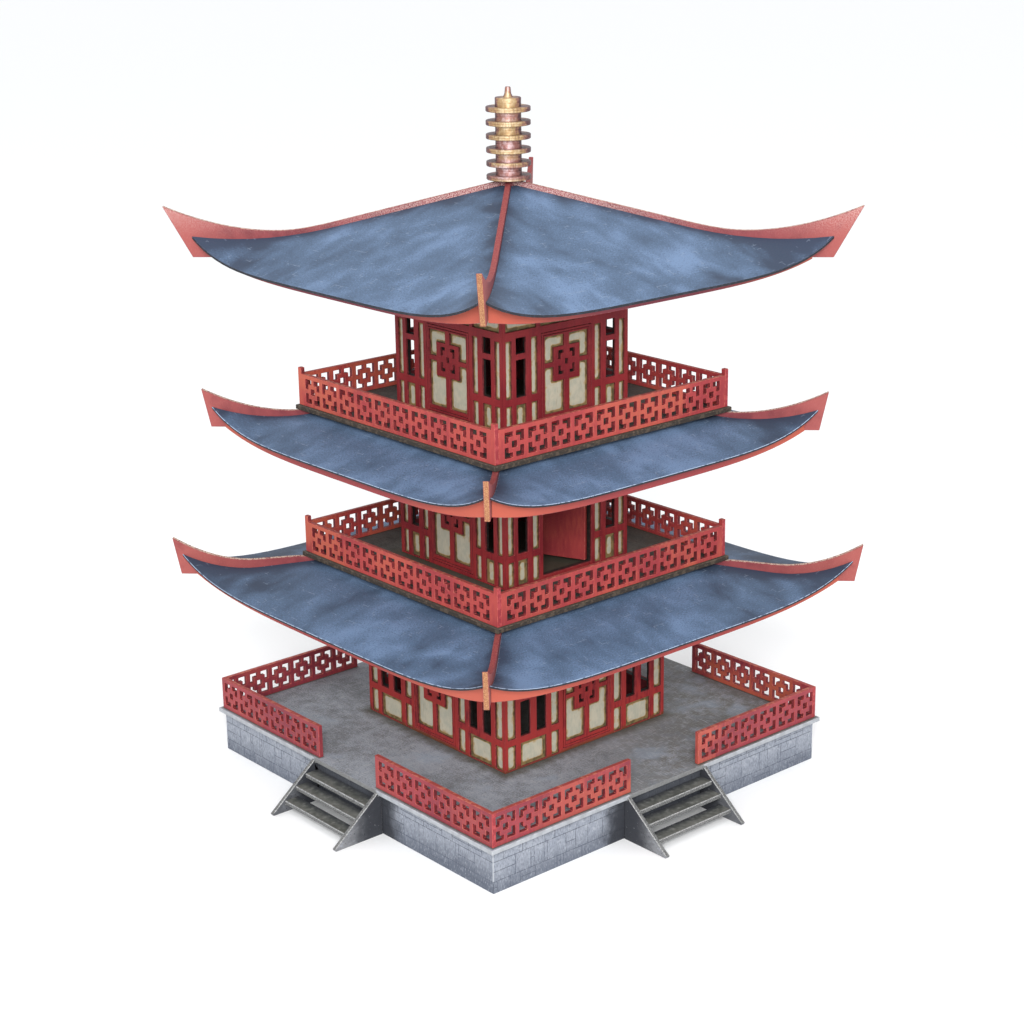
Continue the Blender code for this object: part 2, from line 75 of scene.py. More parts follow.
FLOOR_TOP = {1: high_corner("deck").z, 2: high_corner("floor_2").z, 3: high_corner("floor_3").z}
WALL_TOP = {storey: high_corner(f"wall_{storey}_front").z for storey in (1, 2, 3)}
WALL_HALF = {storey: -low_corner(f"wall_{storey}_front").y for storey in (1, 2, 3)}
RAIL_HALF = {1: -low_corner("ground_rail_front_left").y, 2: -low_corner("rail_2_front").y}
RAIL_HALF[3] = RAIL_HALF[2]
PLINTH_HALF = -low_corner("plinth_walls").y
PLINTH_TOP = high_corner("plinth_walls").z
SHEET = 2.0
GAP = 0.3
print("floors at", [round(z, 1) for z in FLOOR_TOP.values()], "walls out to", WALL_HALF)

# %% [markdown]
# ## The camera
#
# The photograph looks at one corner of the pagoda from a little above. A camera is described by
# where it stands, which way it turns and how long its lens is. All three were fitted to the corners
# of the deck, the balconies and the finial, so the render and the photograph share one frame.

# %% Place the camera
CAMERA_PLACE = Vector((668.4, -575.9, 401.4))
CAMERA_AZIMUTH = 49.25
CAMERA_ELEVATION = 17.71
CAMERA_ROLL = 0.78
LENS = 71.6
SENSOR_WIDTH = 36.0
SHIFT = -0.0015
NEAREST_SEEN = 0.01


def place_camera():
    camera = bpy.data.objects.new("camera", bpy.data.cameras.new("camera"))
    camera.data.lens = LENS
    camera.data.sensor_width = SENSOR_WIDTH
    camera.data.shift_x = SHIFT
    camera.data.clip_start = NEAREST_SEEN
    turn = Matrix.Rotation(math.radians(CAMERA_AZIMUTH), 4, "Z")
    tilt = Matrix.Rotation(math.radians(90 - CAMERA_ELEVATION), 4, "X")
    roll = Matrix.Rotation(math.radians(-CAMERA_ROLL), 4, "Z")
    camera.matrix_world = Matrix.Translation(CAMERA_PLACE * MM) @ turn @ tilt @ roll
    bpy.context.scene.collection.objects.link(camera)
    bpy.context.scene.camera = camera


place_camera()
print("camera stands", round(CAMERA_PLACE.length), "mm from the pagoda's foot")

# %% [markdown]
# ## The studio
#
# The photograph has a white ground, soft light from all around and one broad lamp above the camera.
# Faces that look at the camera squarely, such as the roofs' horns, are brightest, and what turns
# away goes darker. The sheet of paper reaches so far back that its end lies above the picture.

# %% Hang the lamp
KEY_PLACE = (1066.0, -927.0, 751.0)
KEY_SIZE = 500.0
KEY_WATTS = 22.0
LIT_POINT = (0.0, 0.0, 150.0)


def soft_lamp(name, place, size, watts):
    """A round lamp that looks at the middle of the pagoda. Place and size are in millimetres."""
    light = bpy.data.lights.new(name, "AREA")
    light.shape = "DISK"
    light.size = size * MM
    light.energy = watts
    lamp = bpy.data.objects.new(name, light)
    lamp.visible_camera = False
    towards = Vector(LIT_POINT) - Vector(place)
    turn = towards.to_track_quat("-Z", "Y").to_matrix().to_4x4()
    lamp.matrix_world = Matrix.Translation(Vector(place) * MM) @ turn
    bpy.context.scene.collection.objects.link(lamp)


soft_lamp("key", KEY_PLACE, KEY_SIZE, KEY_WATTS)

# %% Lay the paper and light the room
PAPER_REACH = 10.0
PAPER_WHITE = (0.97, 0.97, 0.97)
PAPER_ROUGHNESS = 0.9
SKY_LIGHT = (0.97, 0.985, 1.0)
SKY_STRENGTH = 1.03


def pale_floor():
    bm = bmesh.new()
    bmesh.ops.create_grid(bm, x_segments=1, y_segments=1, size=PAPER_REACH)
    mesh = bpy.data.meshes.new("floor")
    bm.to_mesh(mesh)
    bm.free()
    paper = bpy.data.materials.new("paper")
    paper.use_nodes = True
    shader = paper.node_tree.nodes["Principled BSDF"]
    shader.inputs["Base Color"].default_value = (*PAPER_WHITE, 1.0)
    shader.inputs["Roughness"].default_value = PAPER_ROUGHNESS
    mesh.materials.append(paper)
    floor = bpy.data.objects.new("studio_floor", mesh)
    bpy.context.scene.collection.objects.link(floor)


def light_room():
    world = bpy.data.worlds.new("studio")
    world.use_nodes = True
    background = world.node_tree.nodes["Background"]
    background.inputs["Color"].default_value = (*SKY_LIGHT, 1.0)
    background.inputs["Strength"].default_value = SKY_STRENGTH
    bpy.context.scene.world = world
    bpy.context.scene.view_settings.view_transform = "Standard"


pale_floor()
light_room()
print("the paper reaches", PAPER_REACH, "m; the room's light is", SKY_STRENGTH)

# %% [markdown]
# ## A small language for paint
#
# A painted surface is arithmetic: this much cloud, times that much brushing, mixed with a highlight
# where an edge was caught. Shade wraps one socket of a node tree, so that such sums can be written
# as plain Python. The reflected forms let a plain number stand first, as in 1 - mask.

# %% Shader arithmetic
class Shade:
    """A value that changes over the surface, with Python's arithmetic."""

    def __init__(self, paint, socket):
        self.paint = paint
        self.socket = socket

    def math(self, operation, *values):
        return self.paint.add("Math", {"operation": operation}, list(values))

    def cosine(self):
        return self.math("COSINE", self)

    def __add__(self, other):
        return self.math("ADD", self, other)

    def __sub__(self, other):
        return self.math("SUBTRACT", self, other)

    def __rsub__(self, other):
        return self.math("SUBTRACT", other, self)

    def __mul__(self, other):
        return self.math("MULTIPLY", self, other)

    def __truediv__(self, other):
        return self.math("DIVIDE", self, other)

    def __rtruediv__(self, other):
        return self.math("DIVIDE", other, self)

    def __abs__(self):
        return self.math("ABSOLUTE", self)

    __radd__ = __add__
    __rmul__ = __mul__

    def root(self):
        return self.math("SQRT", self)

    def larger(self, other):
        return self.math("MAXIMUM", self, other)

    def smaller(self, other):
        return self.math("MINIMUM", self, other)

    def rises(self, low, high):
        """0 below low and 1 above high, with a smooth step between. low may be above high."""
        settings = {"interpolation_type": "SMOOTHSTEP"}
        inputs = {"Value": self, "From Min": low, "From Max": high}
        return self.paint.add("MapRange", settings, inputs)


print("a Shade can also", [name for name in vars(Shade) if not name.startswith("_")])

# %% [markdown]
# ## A pot of paint
#
# Paint is one material. Its method add makes any node from its type, its settings and what its
# sockets get, and the other methods are the few things that paint is made of here: noise, mixing,
# and the place of a point, measured in millimetres from the pagoda's centre line.

# %% One material and its nodes
BUMP_STRENGTH = 0.8


class Paint:
    """One material: its node tree, and the few things that paint is made of."""

    def __init__(self, name):
        self.material = bpy.data.materials.new(name)
        self.material.use_nodes = True
        self.tree = self.material.node_tree
        self.shader = self.tree.nodes["Principled BSDF"]
        place = self.add("TexCoord", output="Object")
        inputs = {"Vector": place, "Scale": 1 / MM}
        self.place = self.add("VectorMath", {"operation": "SCALE"}, inputs)

    def fill(self, socket, value):
        if isinstance(value, Shade):
            self.tree.links.new(value.socket, socket)
        elif isinstance(value, tuple) and socket.type == "RGBA":
            socket.default_value = (*value, 1.0)
        else:
            socket.default_value = value

    def add(self, kind, settings=None, inputs=None, output=None):
        prefix = "ShaderNodeTex" if kind in ("Noise", "Brick") else "ShaderNode"
        node = self.tree.nodes.new(prefix + kind)
        for key, value in (settings or {}).items():
            setattr(node, key, value)
        shown = [socket for socket in node.inputs if socket.enabled]
        pairs = inputs.items() if isinstance(inputs, dict) else enumerate(inputs or [])
        for key, value in pairs:
            found = shown[key] if isinstance(key, int) else next(s for s in shown if s.name == key)
            self.fill(found, value)
        given = [socket for socket in node.outputs if socket.enabled]
        chosen = given[0] if output is None else next(s for s in given if s.name == output)
        return Shade(self, chosen)

    def axes(self):
        """x, y and z in millimetres."""
        return [self.add("SeparateXYZ", None, [self.place], name) for name in "XYZ"]

    def outward(self):
        """How far out from the centre line, measured square to the nearest side."""
        x, y, _ = self.axes()
        return abs(x).larger(abs(y))

    def sideways(self):
        """How far from the middle of the nearest side, along it."""
        x, y, _ = self.axes()
        return abs(x).smaller(abs(y))

    def attribute(self, name):
        return self.add("Attribute", {"attribute_name": name}, output="Fac")

    def vector(self, x, y, z=0.0):
        return self.add("CombineXYZ", None, [x, y, z])

    def noise(self, size, detail=3.0, stretch=(1.0, 1.0, 1.0), place=None, swirl=0.0):
        """Cloudy noise with features of about size millimetres, longer where stretch is above 1."""
        squeeze = tuple(1 / (size * share) for share in stretch)
        spot = self.add("VectorMath", {"operation": "MULTIPLY"}, [place or self.place, squeeze])
        inputs = {"Vector": spot, "Scale": 1.0, "Detail": detail, "Distortion": swirl}
        return self.add("Noise", None, inputs)

    def mix(self, share, first, second):
        """first where share is 0, second where it is 1."""
        return self.add("Mix", {"data_type": "RGBA"}, {"Factor": share, "A": first, "B": second})

    def finish(self, colour, roughness, height, depth, metallic=0.0):
        """Feed the shader. depth is how deep height's relief is, in millimetres."""
        self.fill(self.shader.inputs["Base Color"], colour)
        self.fill(self.shader.inputs["Roughness"], roughness)
        self.fill(self.shader.inputs["Metallic"], metallic)
        inputs = {"Height": height, "Distance": depth * MM, "Strength": BUMP_STRENGTH}
        self.fill(self.shader.inputs["Normal"], self.add("Bump", None, inputs))
        return self.material


print("a Paint can", [name for name in vars(Paint) if not name.startswith("_")])

# %% [markdown]
# ## Two-tone paint
#
# Much of a painted model is two colours that share a surface unevenly: an edge that a dry brush
# caught here and skipped there, or a wash that pooled. One function makes them all. The size of the
# patches and the second colour's share are what differ.

# %% A coat of two colours
def two_tone(name, first, second, size=1.6, share=0.5):
    paint = Paint(name)
    patches = paint.noise(size, 4.0)
    colour = paint.mix(patches.rises(0.62 - share * 0.24, 0.74 - share * 0.36), first, second)
    return paint.finish(colour, 0.7, patches, 0.03)


print("two-tone coats: a share of 0.5 covers about half")

# %% [markdown]
# ## Red paint
#
# The red is not one colour. It is a deep crimson coat with a warmer, thinner one brushed over it,
# and in places a third, almost orange. It drifts between them over a few centimetres, shows the
# brush's fine streaks, and carries a dust of salmon grains from the last dry brushing. The walls
# are deeper and duller than the railings, as painted shade under the roofs, and brighten towards
# the ground as painted light. Where the lowest ones meet the deck, an olive glaze crept up.

# %% Mix the reds
CRIMSON = (0.255, 0.020, 0.027)
SCARLET = (0.370, 0.042, 0.038)
LOW_CRIMSON = (0.175, 0.016, 0.030)
LOW_SCARLET = (0.275, 0.032, 0.042)
# The walls' deep and warm reds are darker than the railings' as painted shade under the roofs.
WALL_DEEP = (0.172, 0.010, 0.017)
WALL_WARM = (0.262, 0.022, 0.026)
WALL_LIT_RED = (0.320, 0.028, 0.026)
SALMON = (0.560, 0.160, 0.130)
BRUSH_ORANGE = (0.450, 0.095, 0.048)
GLAZE = (0.075, 0.050, 0.018)
GLAZE_HEIGHT = 3.0
WALL_SHEEN = 0.25


def third_coat(paint, colour, streaks, share, rightward):
    """Orange that grows away from the front corner, or from left to right if it is rightward."""
    x, y, _ = paint.axes()
    away = (x + y if rightward else abs(x + y)).rises(-20.0, 130.0) * 0.8 + 0.2
    warmer = (paint.noise(34.0, 2.0) * 0.8 + streaks * 0.2).rises(0.44, 0.60)
    return paint.mix(warmer * away * share, colour, BRUSH_ORANGE)


def wall_light_and_glaze(paint, colour, drift, streaks):
    """Painted light, brighter red towards the ground, away from the roofs' shade, and the glaze at
    the lowest walls' feet.
    """
    z = paint.axes()[2]
    uneven = (drift * 0.5 + streaks * 0.5).rises(0.36, 0.54)
    # Painted light: the walls' red brightens towards the ground, further from the roofs' shade.
    colour = paint.mix(z.rises(WALL_TOP[2], FLOOR_TOP[1]) * uneven, colour, WALL_LIT_RED)
    crept = (z - FLOOR_TOP[1] + drift * 4.0 - 2.0).rises(GLAZE_HEIGHT, 0.3)
    return paint.mix(crept * 0.75, colour, GLAZE)


def red_coat(name, deep, warm, dust=0.35, orange=0.0, rightward=False, shade_and_glaze=False):
    """dust and orange are the shares of the salmon grains and of the third coat."""
    paint = Paint(name)
    drift = paint.noise(26.0, 2.0)
    streaks = paint.noise(1.2, 4.0, (1.0, 1.0, 5.0))
    colour = paint.mix((drift * 0.7 + streaks * 0.3).rises(0.36, 0.64), deep, warm)
    if orange:
        colour = third_coat(paint, colour, streaks, orange, rightward)
    grains = paint.noise(0.35, 2.0)
    colour = paint.mix(grains.rises(0.60, 0.80) * dust, colour, SALMON)
    if shade_and_glaze:
        colour = wall_light_and_glaze(paint, colour, drift, streaks)
        paint.shader.inputs["Specular IOR Level"].default_value = WALL_SHEEN
    return paint.finish(colour, 0.55 + streaks * 0.2, grains + streaks, 0.03)


RED = red_coat("red_paint", CRIMSON, SCARLET, orange=0.75)
LOW_RED = red_coat("low_red", LOW_CRIMSON, LOW_SCARLET, 0.5, orange=0.80, rightward=True)
WALL_RED = red_coat("wall_red", WALL_DEEP, WALL_WARM, 0.2, shade_and_glaze=True)
print("reds mixed:", [coat.name for coat in (RED, LOW_RED, WALL_RED)])

# %% [markdown]
# ## Edges, reveals and the rooms
#
# Edges that the brush caught are paler than the board's face, and the railings' upper edges are
# almost orange, partly as a painted highlight. Inside a hole the red is darker, as painted shade.
# The back boards' window edges are near-black painted shade, and the rooms inside are their own
# plain dark red, darkened further as painted shade.

# %% Mix the reds of edges and reveals
EDGE_SALMON = (0.470, 0.115, 0.085)
WALL_EDGE_PALE = (0.360, 0.060, 0.052)
# The railings' upper edges: orange dry brushing, and partly a painted highlight.
TOP_EDGE_ORANGE = (0.330, 0.050, 0.042)
TOP_EDGE_PALE = (0.460, 0.125, 0.080)
# Painted shade: the darker red inside the holes.
REVEAL_SHADE_DARK = (0.125, 0.011, 0.015)
REVEAL_SHADE_RED = (0.200, 0.022, 0.026)
# Painted shade: the near-black window edges of the backing.
WINDOW_SHADE_BLACK = (0.010, 0.008, 0.007)
WINDOW_SHADE_BROWN = (0.028, 0.018, 0.013)
# The rooms' own dark red, darkened further as painted shade.
ROOM_SHADE_DARK = (0.105, 0.009, 0.013)
ROOM_SHADE_WARM = (0.155, 0.014, 0.017)
RED_EDGE = two_tone("red_edge", SCARLET, EDGE_SALMON, share=0.4)
WALL_EDGE = two_tone("wall_edge", WALL_WARM, WALL_EDGE_PALE, share=0.4)
BRUSHED_AND_HIGHLIGHT = two_tone("brushed_orange_highlight", TOP_EDGE_ORANGE, TOP_EDGE_PALE, 2.2, 0.4)
SHADED_REVEAL = two_tone("red_reveal_shade", REVEAL_SHADE_DARK, REVEAL_SHADE_RED, 2.5)
SHADED_WINDOW_EDGE = two_tone("window_edge_shade", WINDOW_SHADE_BLACK, WINDOW_SHADE_BROWN, 2.0, 0.4)
SHADED_ROOM = two_tone("room_red_shade", ROOM_SHADE_DARK, ROOM_SHADE_WARM, 9.0)
print("edges mixed:", [coat.name for coat in (RED_EDGE, WALL_EDGE, BRUSHED_AND_HIGHLIGHT, SHADED_REVEAL, SHADED_WINDOW_EDGE)])

# %% [markdown]
# ## Cut ends
#
# A board's cut end shows the fibreboard's layers, in ochre that took the paint unevenly, and the
# laser's fine ribs across it.

# %% Mix the end grain
BOARD_BROWN = (0.220, 0.080, 0.036)
BOARD_OCHRE = (0.380, 0.190, 0.085)
BOARD_REDDENED = (0.290, 0.100, 0.055)
RAIL_END_RED = (0.360, 0.045, 0.050)


def end_grain(name):
    paint = Paint(name)
    ribs = paint.noise(0.5, 3.0, (1.0, 1.0, 0.6))
    blotches = paint.noise(4.0, 2.0)
    colour = paint.mix(ribs.rises(0.40, 0.62), BOARD_BROWN, BOARD_OCHRE)
    colour = paint.mix(blotches.rises(0.55, 0.75) * 0.5, colour, BOARD_REDDENED)
    return paint.finish(colour, 0.8, ribs, 0.08)


END_GRAIN = end_grain("end_grain")
RAIL_END = two_tone("rail_end", CRIMSON, RAIL_END_RED, 2.0)
print("cut ends:", END_GRAIN.name, RAIL_END.name)

# %% [markdown]
# ## Flat boards with holes
#
# Almost every piece here is a flat board with square holes. The quickest clean way to make one is
# to rule a sheet: cut it along the line of every hole's edge, delete the cells that fall in a hole,
# and give what is left its thickness. The board lies on its back while it is made, x across and y
# up, and is stood upright at the end.

# %% Paint numbers, the same on every board
FACE, RIM, THIRD, HOLE, FIFTH, BEHIND = range(6)
print("a board's face is paint", FACE, "its rims", RIM, "and the walls of its holes", HOLE)

# %% Rule and pierce a sheet
MERGE = 1e-7


def box_of(x0, x1, z0, z1):
    """A rectangle, whichever way round its corners are given."""
    return (min(x0, x1), max(x0, x1), min(z0, z1), max(z0, z1))


def flat_sheet(x0, x1, z0, z1, columns=1, rows=1):
    bm = bmesh.new()
    bmesh.ops.create_grid(bm, x_segments=columns, y_segments=rows, size=0.5)
    bmesh.ops.scale(bm, vec=((x1 - x0) * MM, (z1 - z0) * MM, 1.0), verts=bm.verts)
    bmesh.ops.translate(bm, vec=((x0 + x1) / 2 * MM, (z0 + z1) / 2 * MM, 0.0), verts=bm.verts)
    return bm


def rule_line(bm, axis, value, faces=None):
    """Cut faces, or the whole sheet, along x = value (axis 0) or z = value (axis 1)."""
    normal = Vector((1.0, 0.0, 0.0)) if axis == 0 else Vector((0.0, 1.0, 0.0))
    chosen = bm.faces[:] if faces is None else faces
    edges = {edge for face in chosen for edge in face.edges}
    verts = {vert for face in chosen for vert in face.verts}
    bmesh.ops.bisect_plane(
        bm, geom=[*chosen, *edges, *verts], dist=MERGE,
        plane_co=normal * value * MM, plane_no=normal,
    )


def inside(face, hole):
    middle = face.calc_center_median() / MM
    return hole[0] < middle.x < hole[1] and hole[2] < middle.y < hole[3]


def pierce(bm, holes):
    for axis in (0, 1):
        lines = {round(value, 3) for hole in holes for value in hole[2 * axis:2 * axis + 2]}
        for value in sorted(lines):
            rule_line(bm, axis, value)
    doomed = [face for face in bm.faces if any(inside(face, hole) for hole in holes)]
    bmesh.ops.delete(bm, geom=doomed, context="FACES")


trial = flat_sheet(-10.0, 10.0, 0.0, 10.0)
pierce(trial, [box_of(-4.0, 4.0, 3.0, 7.0)])
print("a sheet with one hole has", len(trial.faces), "cells round it")
trial.free()

# %% [markdown]
# ## Thickness, broken edges and mitres
#
# A cut sheet has no truly sharp edge: the paint and the brush round it off, and it catches the
# light. So every board gets a narrow bevel with a paint of its own. Where two boards meet at a
# corner of the plan, both are cut along the diagonal, with a hair of room between them.

# %% Thicken, soften and mitre a sheet
CORNER_GAP = 0.06


def only(kind, made):
    """The vertices, edges or faces among what an operator made."""
    return [item for item in made if isinstance(item, kind)]


def thicken(bm, back, front):
    """Give the sheet two faces, at depths back and front, and the walls between them."""
    bmesh.ops.translate(bm, vec=(0.0, 0.0, front * MM), verts=bm.verts)
    made = bmesh.ops.extrude_face_region(bm, geom=bm.faces[:], use_keep_orig=True)
    moved = only(bmesh.types.BMVert, made["geom"])
    bmesh.ops.translate(bm, vec=(0.0, 0.0, (back - front) * MM), verts=moved)
    bmesh.ops.recalc_face_normals(bm, faces=bm.faces)


def soften(bm, width, angle=30.0, shortest=0.0):
    """Bevel the sharp edges, and give the new faces the rim paint and return them.

    With shortest, only the longer outward edges are bevelled, as wide as asked.
    """
    sharp = [edge for edge in bm.edges if edge.calc_face_angle(0.0) > math.radians(angle)]
    if shortest:
        sharp = [edge for edge in sharp if edge.is_convex and edge.calc_length() > shortest * MM]
    made = bmesh.ops.bevel(
        bm, geom=sharp, offset=width * MM, offset_type="OFFSET", affect="EDGES",
        segments=1, profile=0.5, material=-1, clamp_overlap=not shortest,
    )
    for face in made["faces"]:
        face.material_index = RIM
    return made["faces"]


def mitre(bm, gap):
    """Cut the upright front board's ends along the diagonals of the plan."""
    for end in (-1, 1):
        normal = Vector((end, 1.0, 0.0)).normalized()
        geometry = bm.verts[:] + bm.edges[:] + bm.faces[:]
        cut = bmesh.ops.bisect_plane(
            bm, geom=geometry, dist=MERGE, plane_co=-normal * gap / 2 * MM,
            plane_no=normal, clear_outer=True,
        )
        bmesh.ops.contextual_create(bm, geom=only(bmesh.types.BMEdge, cut["geom_cut"]))


print("mitred boards stand", CORNER_GAP, "mm apart")

# %% Make one board
BOARD_EDGE = 0.12


def stand_up(bm):
    bmesh.ops.rotate(bm, verts=bm.verts, matrix=Matrix.Rotation(math.pi / 2, 3, "X"))


def number_walls(bm, outline, wall_paint):
    """Give the holes' walls their paint. The board's own outer edges keep the face's."""
    for face in bm.faces:
        middle = face.calc_center_median() / MM
        outer = min(abs(middle.x - x) for x in outline[:2]) < 0.01
        outer = outer or min(abs(middle.y - z) for z in outline[2:]) < 0.01
        if abs(face.normal.z) < 0.5 and not outer:
            face.material_index = wall_paint


def board(outline, holes, back, front, edge=BOARD_EDGE, wall_paint=HOLE):
    """A pierced board, standing in the front side's plane. Without an edge width it stays sharp."""
    bm = flat_sheet(*outline)
    pierce(bm, holes)
    thicken(bm, back, front)
    number_walls(bm, outline, wall_paint)
    if edge:
        soften(bm, edge)
    stand_up(bm)
    return bm


print("a board's edges are broken", BOARD_EDGE, "mm wide")

# %% [markdown]
# ## Hanging a piece on the pagoda
#
# Railings and walls belong to one side of the pagoda. Each is modelled once, on the front, and
# copied with its mesh turned about the centre line. The roofs and the plinth go all the way round,
# so their four sides are joined in one piece. The object itself stays at the origin, so patterns
# that read object coordinates fall differently on each side.

# %% Turn, name and register pieces
made_pieces = []


def mesh_of(bm, name, smooth=0.0):
    mesh = bpy.data.meshes.new(name)
    bm.to_mesh(mesh)
    bm.free()
    if smooth:
        mesh.shade_smooth()
        mesh.set_sharp_from_angle(angle=math.radians(smooth))
    return mesh


def add_piece(name, mesh, paints, nodes, body="building", turn=0):
    """One finished piece: a turned copy of mesh that stands for the named solids."""
    copy = mesh.copy()
    copy.transform(Matrix.Rotation(turn * math.pi / 2, 4, "Z"))
    for paint in paints:
        copy.materials.append(paint)
    piece = bpy.data.objects.new(name, copy)
    bpy.context.scene.collection.objects.link(piece)
    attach(piece, body)
    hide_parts(*nodes)
    made_pieces.append(piece)


def join_into(target, other):
    """Add one bmesh to another, keeping material numbers."""
    mesh = bpy.data.meshes.new("part")
    other.to_mesh(mesh)
    other.free()
    target.from_mesh(mesh)
    bpy.data.meshes.remove(mesh)


def faces_since(start):
    """How many faces the pieces have that were made after the first start ones."""
    return sum(len(piece.data.polygons) for piece in made_pieces[start:])


print("pieces so far:", len(made_pieces), "with", faces_since(0), "faces")

# %% [markdown]
# ## Railings
#
# Each railing is one board, pierced with the same square figure again and again: a little window
# in the middle and four L-shaped holes that hug the corners. The front and back boards run right to
# the corner, where their cut ends show and, upstairs, a small tab stands up. The two side boards
# fit between them.

# %% Draw the fretwork
FRET_WIDTH = 10.4
FRET_ARM_ACROSS = 4.35
FRET_ARM_UP = 4.5
FRET_SLOT = 2.1
FRET_EYE = (2.8, 2.8)


def fret(x, low, high):
    """The holes of one figure, its left edge at x."""
    holes = []
    for edge, inward in ((x, 1), (x + FRET_WIDTH, -1)):
        for sill, up in ((low, 1), (high, -1)):
            holes.append(box_of(edge, edge + inward * FRET_ARM_ACROSS, sill, sill + up * FRET_SLOT))
            holes.append(box_of(edge, edge + inward * FRET_SLOT, sill, sill + up * FRET_ARM_UP))
    middle, centre = x + FRET_WIDTH / 2, (low + high) / 2
    wide, tall = FRET_EYE
    holes.append(box_of(middle - wide / 2, middle + wide / 2, centre - tall / 2, centre + tall / 2))
    return holes


def frets(first, rail, floor):
    holes = []
    for i in range(rail["count"]):
        holes += fret(first + i * rail["pitch"], floor + rail["low"], floor + rail["high"])
    return holes


print("one figure is", len(fret(0.0, 0.0, 11.0)), "rectangles")

# %% Cut the railings
GROUND_RAIL = {
    "start": 20.6, "first": 23.0, "pitch": 12.6, "count": 6, "low": 2.2, "high": 13.3, "top": 15.3
}
FLOOR_RAIL = {"pitch": 12.75, "count": 10, "low": 1.8, "high": 12.7, "top": 14.6, "tab": 17.3}
TAB_WIDTH = 2.4
AT_THE_END = 0.05
AT_THE_TOP = 0.3


def number_rail(bm, end, top):
    """Cut ends are the third paint, and the upper edges the fifth: orange dry brushing that is
    partly a painted highlight.
    """
    for face in bm.faces:
        middle = face.calc_center_median() / MM
        if abs(face.normal.x) > 0.9 and abs(middle.x) > end - AT_THE_END:
            face.material_index = THIRD
        elif face.normal.z > 0.5 and middle.z > top - AT_THE_TOP:
            face.material_index = FIFTH


def ground_rail(end, sign):
    half, floor, rail = RAIL_HALF[1], FLOOR_TOP[1], GROUND_RAIL
    right_holes = frets(rail["first"], rail, floor)
    holes = [box_of(sign * x0, sign * x1, z0, z1) for x0, x1, z0, z1 in right_holes]
    top = floor + rail["top"]
    outline = box_of(sign * rail["start"], sign * end, floor + GAP / 2, top)
    bm = board(outline, holes, half - SHEET, half)
    number_rail(bm, end, top)
    return mesh_of(bm, "ground_rail")


def floor_rail(storey, end, tabs):
    half, floor, rail = RAIL_HALF[storey], FLOOR_TOP[storey], FLOOR_RAIL
    span = rail["pitch"] * (rail["count"] - 1) + FRET_WIDTH
    holes = frets(-span / 2, rail, floor)
    top, tab_top = floor + rail["top"], floor + rail["tab"]
    if tabs:
        holes.append(box_of(-end + TAB_WIDTH, end - TAB_WIDTH, top, tab_top + 1))
    outline = box_of(-end, end, floor + GAP / 2, tab_top if tabs else top)
    bm = board(outline, holes, half - SHEET, half)
    number_rail(bm, end, top)
    return mesh_of(bm, "floor_rail")


print("figures on a board:", GROUND_RAIL["count"], "below,", FLOOR_RAIL["count"], "upstairs")

# %% Put the railings on their sides
BETWEEN_RAILS = 0.05


def build_rails():
    low_paints = (LOW_RED, RED_EDGE, RAIL_END, SHADED_REVEAL, BRUSHED_AND_HIGHLIGHT)
    paints = (RED, RED_EDGE, RAIL_END, SHADED_REVEAL, BRUSHED_AND_HIGHLIGHT)
    for turn, side in enumerate(SIDES):
        outer = turn % 2 == 0
        shorter = 0.0 if outer else SHEET + BETWEEN_RAILS
        for hand, sign in (("left", -1), ("right", 1)):
            node = f"ground_rail_{side}_{hand}"
            mesh = ground_rail(RAIL_HALF[1] - shorter, sign)
            add_piece(node + "_fret", mesh, low_paints, [node], turn=turn)
        for storey in (2, 3):
            node = f"rail_{storey}_{side}"
            mesh = floor_rail(storey, RAIL_HALF[storey] - shorter, outer)
            add_piece(node + "_fret", mesh, paints, [node], turn=turn)


build_rails()
print("railings:", len(made_pieces), "boards with", faces_since(0), "faces")

# %% [markdown]
# ## Walls
#
# A wall is two layers. The back board carries the windows, cut a little wider than the thinner red
# frame's in front, so that one sees through two of them at a corner. The frame leaves the panels as
# shallow recesses. Each recess was painted cream by hand, clear of its corners, and a brown wash
# settled round it. To give that painting something to follow, every recess gets its own small sheet
# whose points know how far they lie from its rim.

# %% Sizes of the wall's openings
BACKING = 2.0
RAISED = 1.0
LOW_PANEL = (0.9, 12.2)
TALL_PANEL = (15.3, 40.4)
WINDOW = (15.3, 31.7, 34.2, 41.2)
WINDOW_EASE = 1.1
FRIEZE = (44.2, 54.0)
DOORWAY = (14.5, 2.0, 41.2)
BAYS = {
    1: {
        "narrow": ((16.9, 21.4), (42.3, 46.9)), "lights": ((24.5, 30.1), (33.8, 39.5)),
        "wide": (24.5, 39.5), "frieze": (20.0, (23.0, 46.9)),
    },
    2: {
        "narrow": ((16.6, 20.2), (31.2, 34.5)), "lights": ((23.2, 28.9),),
        "wide": (23.2, 28.9), "frieze": (15.0, (17.2, 34.5)),
    },
}
BAYS[3] = BAYS[2]


def both_hands(spans, low, high):
    return [box_of(hand * a, hand * b, low, high) for a, b in spans for hand in (-1, 1)]


def window_holes(storey, floor, ease=0.0):
    sill, transom, light, head = WINDOW
    lights = [(near - ease, far + ease) for near, far in BAYS[storey]["lights"]]
    lower = both_hands(lights, floor + sill, floor + transom)
    return lower + both_hands(lights, floor + light, floor + head)


def panel_boxes(storey, floor):
    """The narrow panels and the wide ones."""
    bays = BAYS[storey]
    low = (floor + LOW_PANEL[0], floor + LOW_PANEL[1])
    tall = (floor + TALL_PANEL[0], floor + TALL_PANEL[1])
    narrow = both_hands(bays["narrow"], *low) + both_hands(bays["narrow"], *tall)
    return narrow, both_hands((bays["wide"],), *low)


def frieze_boxes(storey, floor):
    centre, outer = BAYS[storey]["frieze"]
    low, high = floor + FRIEZE[0], floor + FRIEZE[1]
    return [box_of(-centre, centre, low, high), *both_hands((outer,), low, high)]


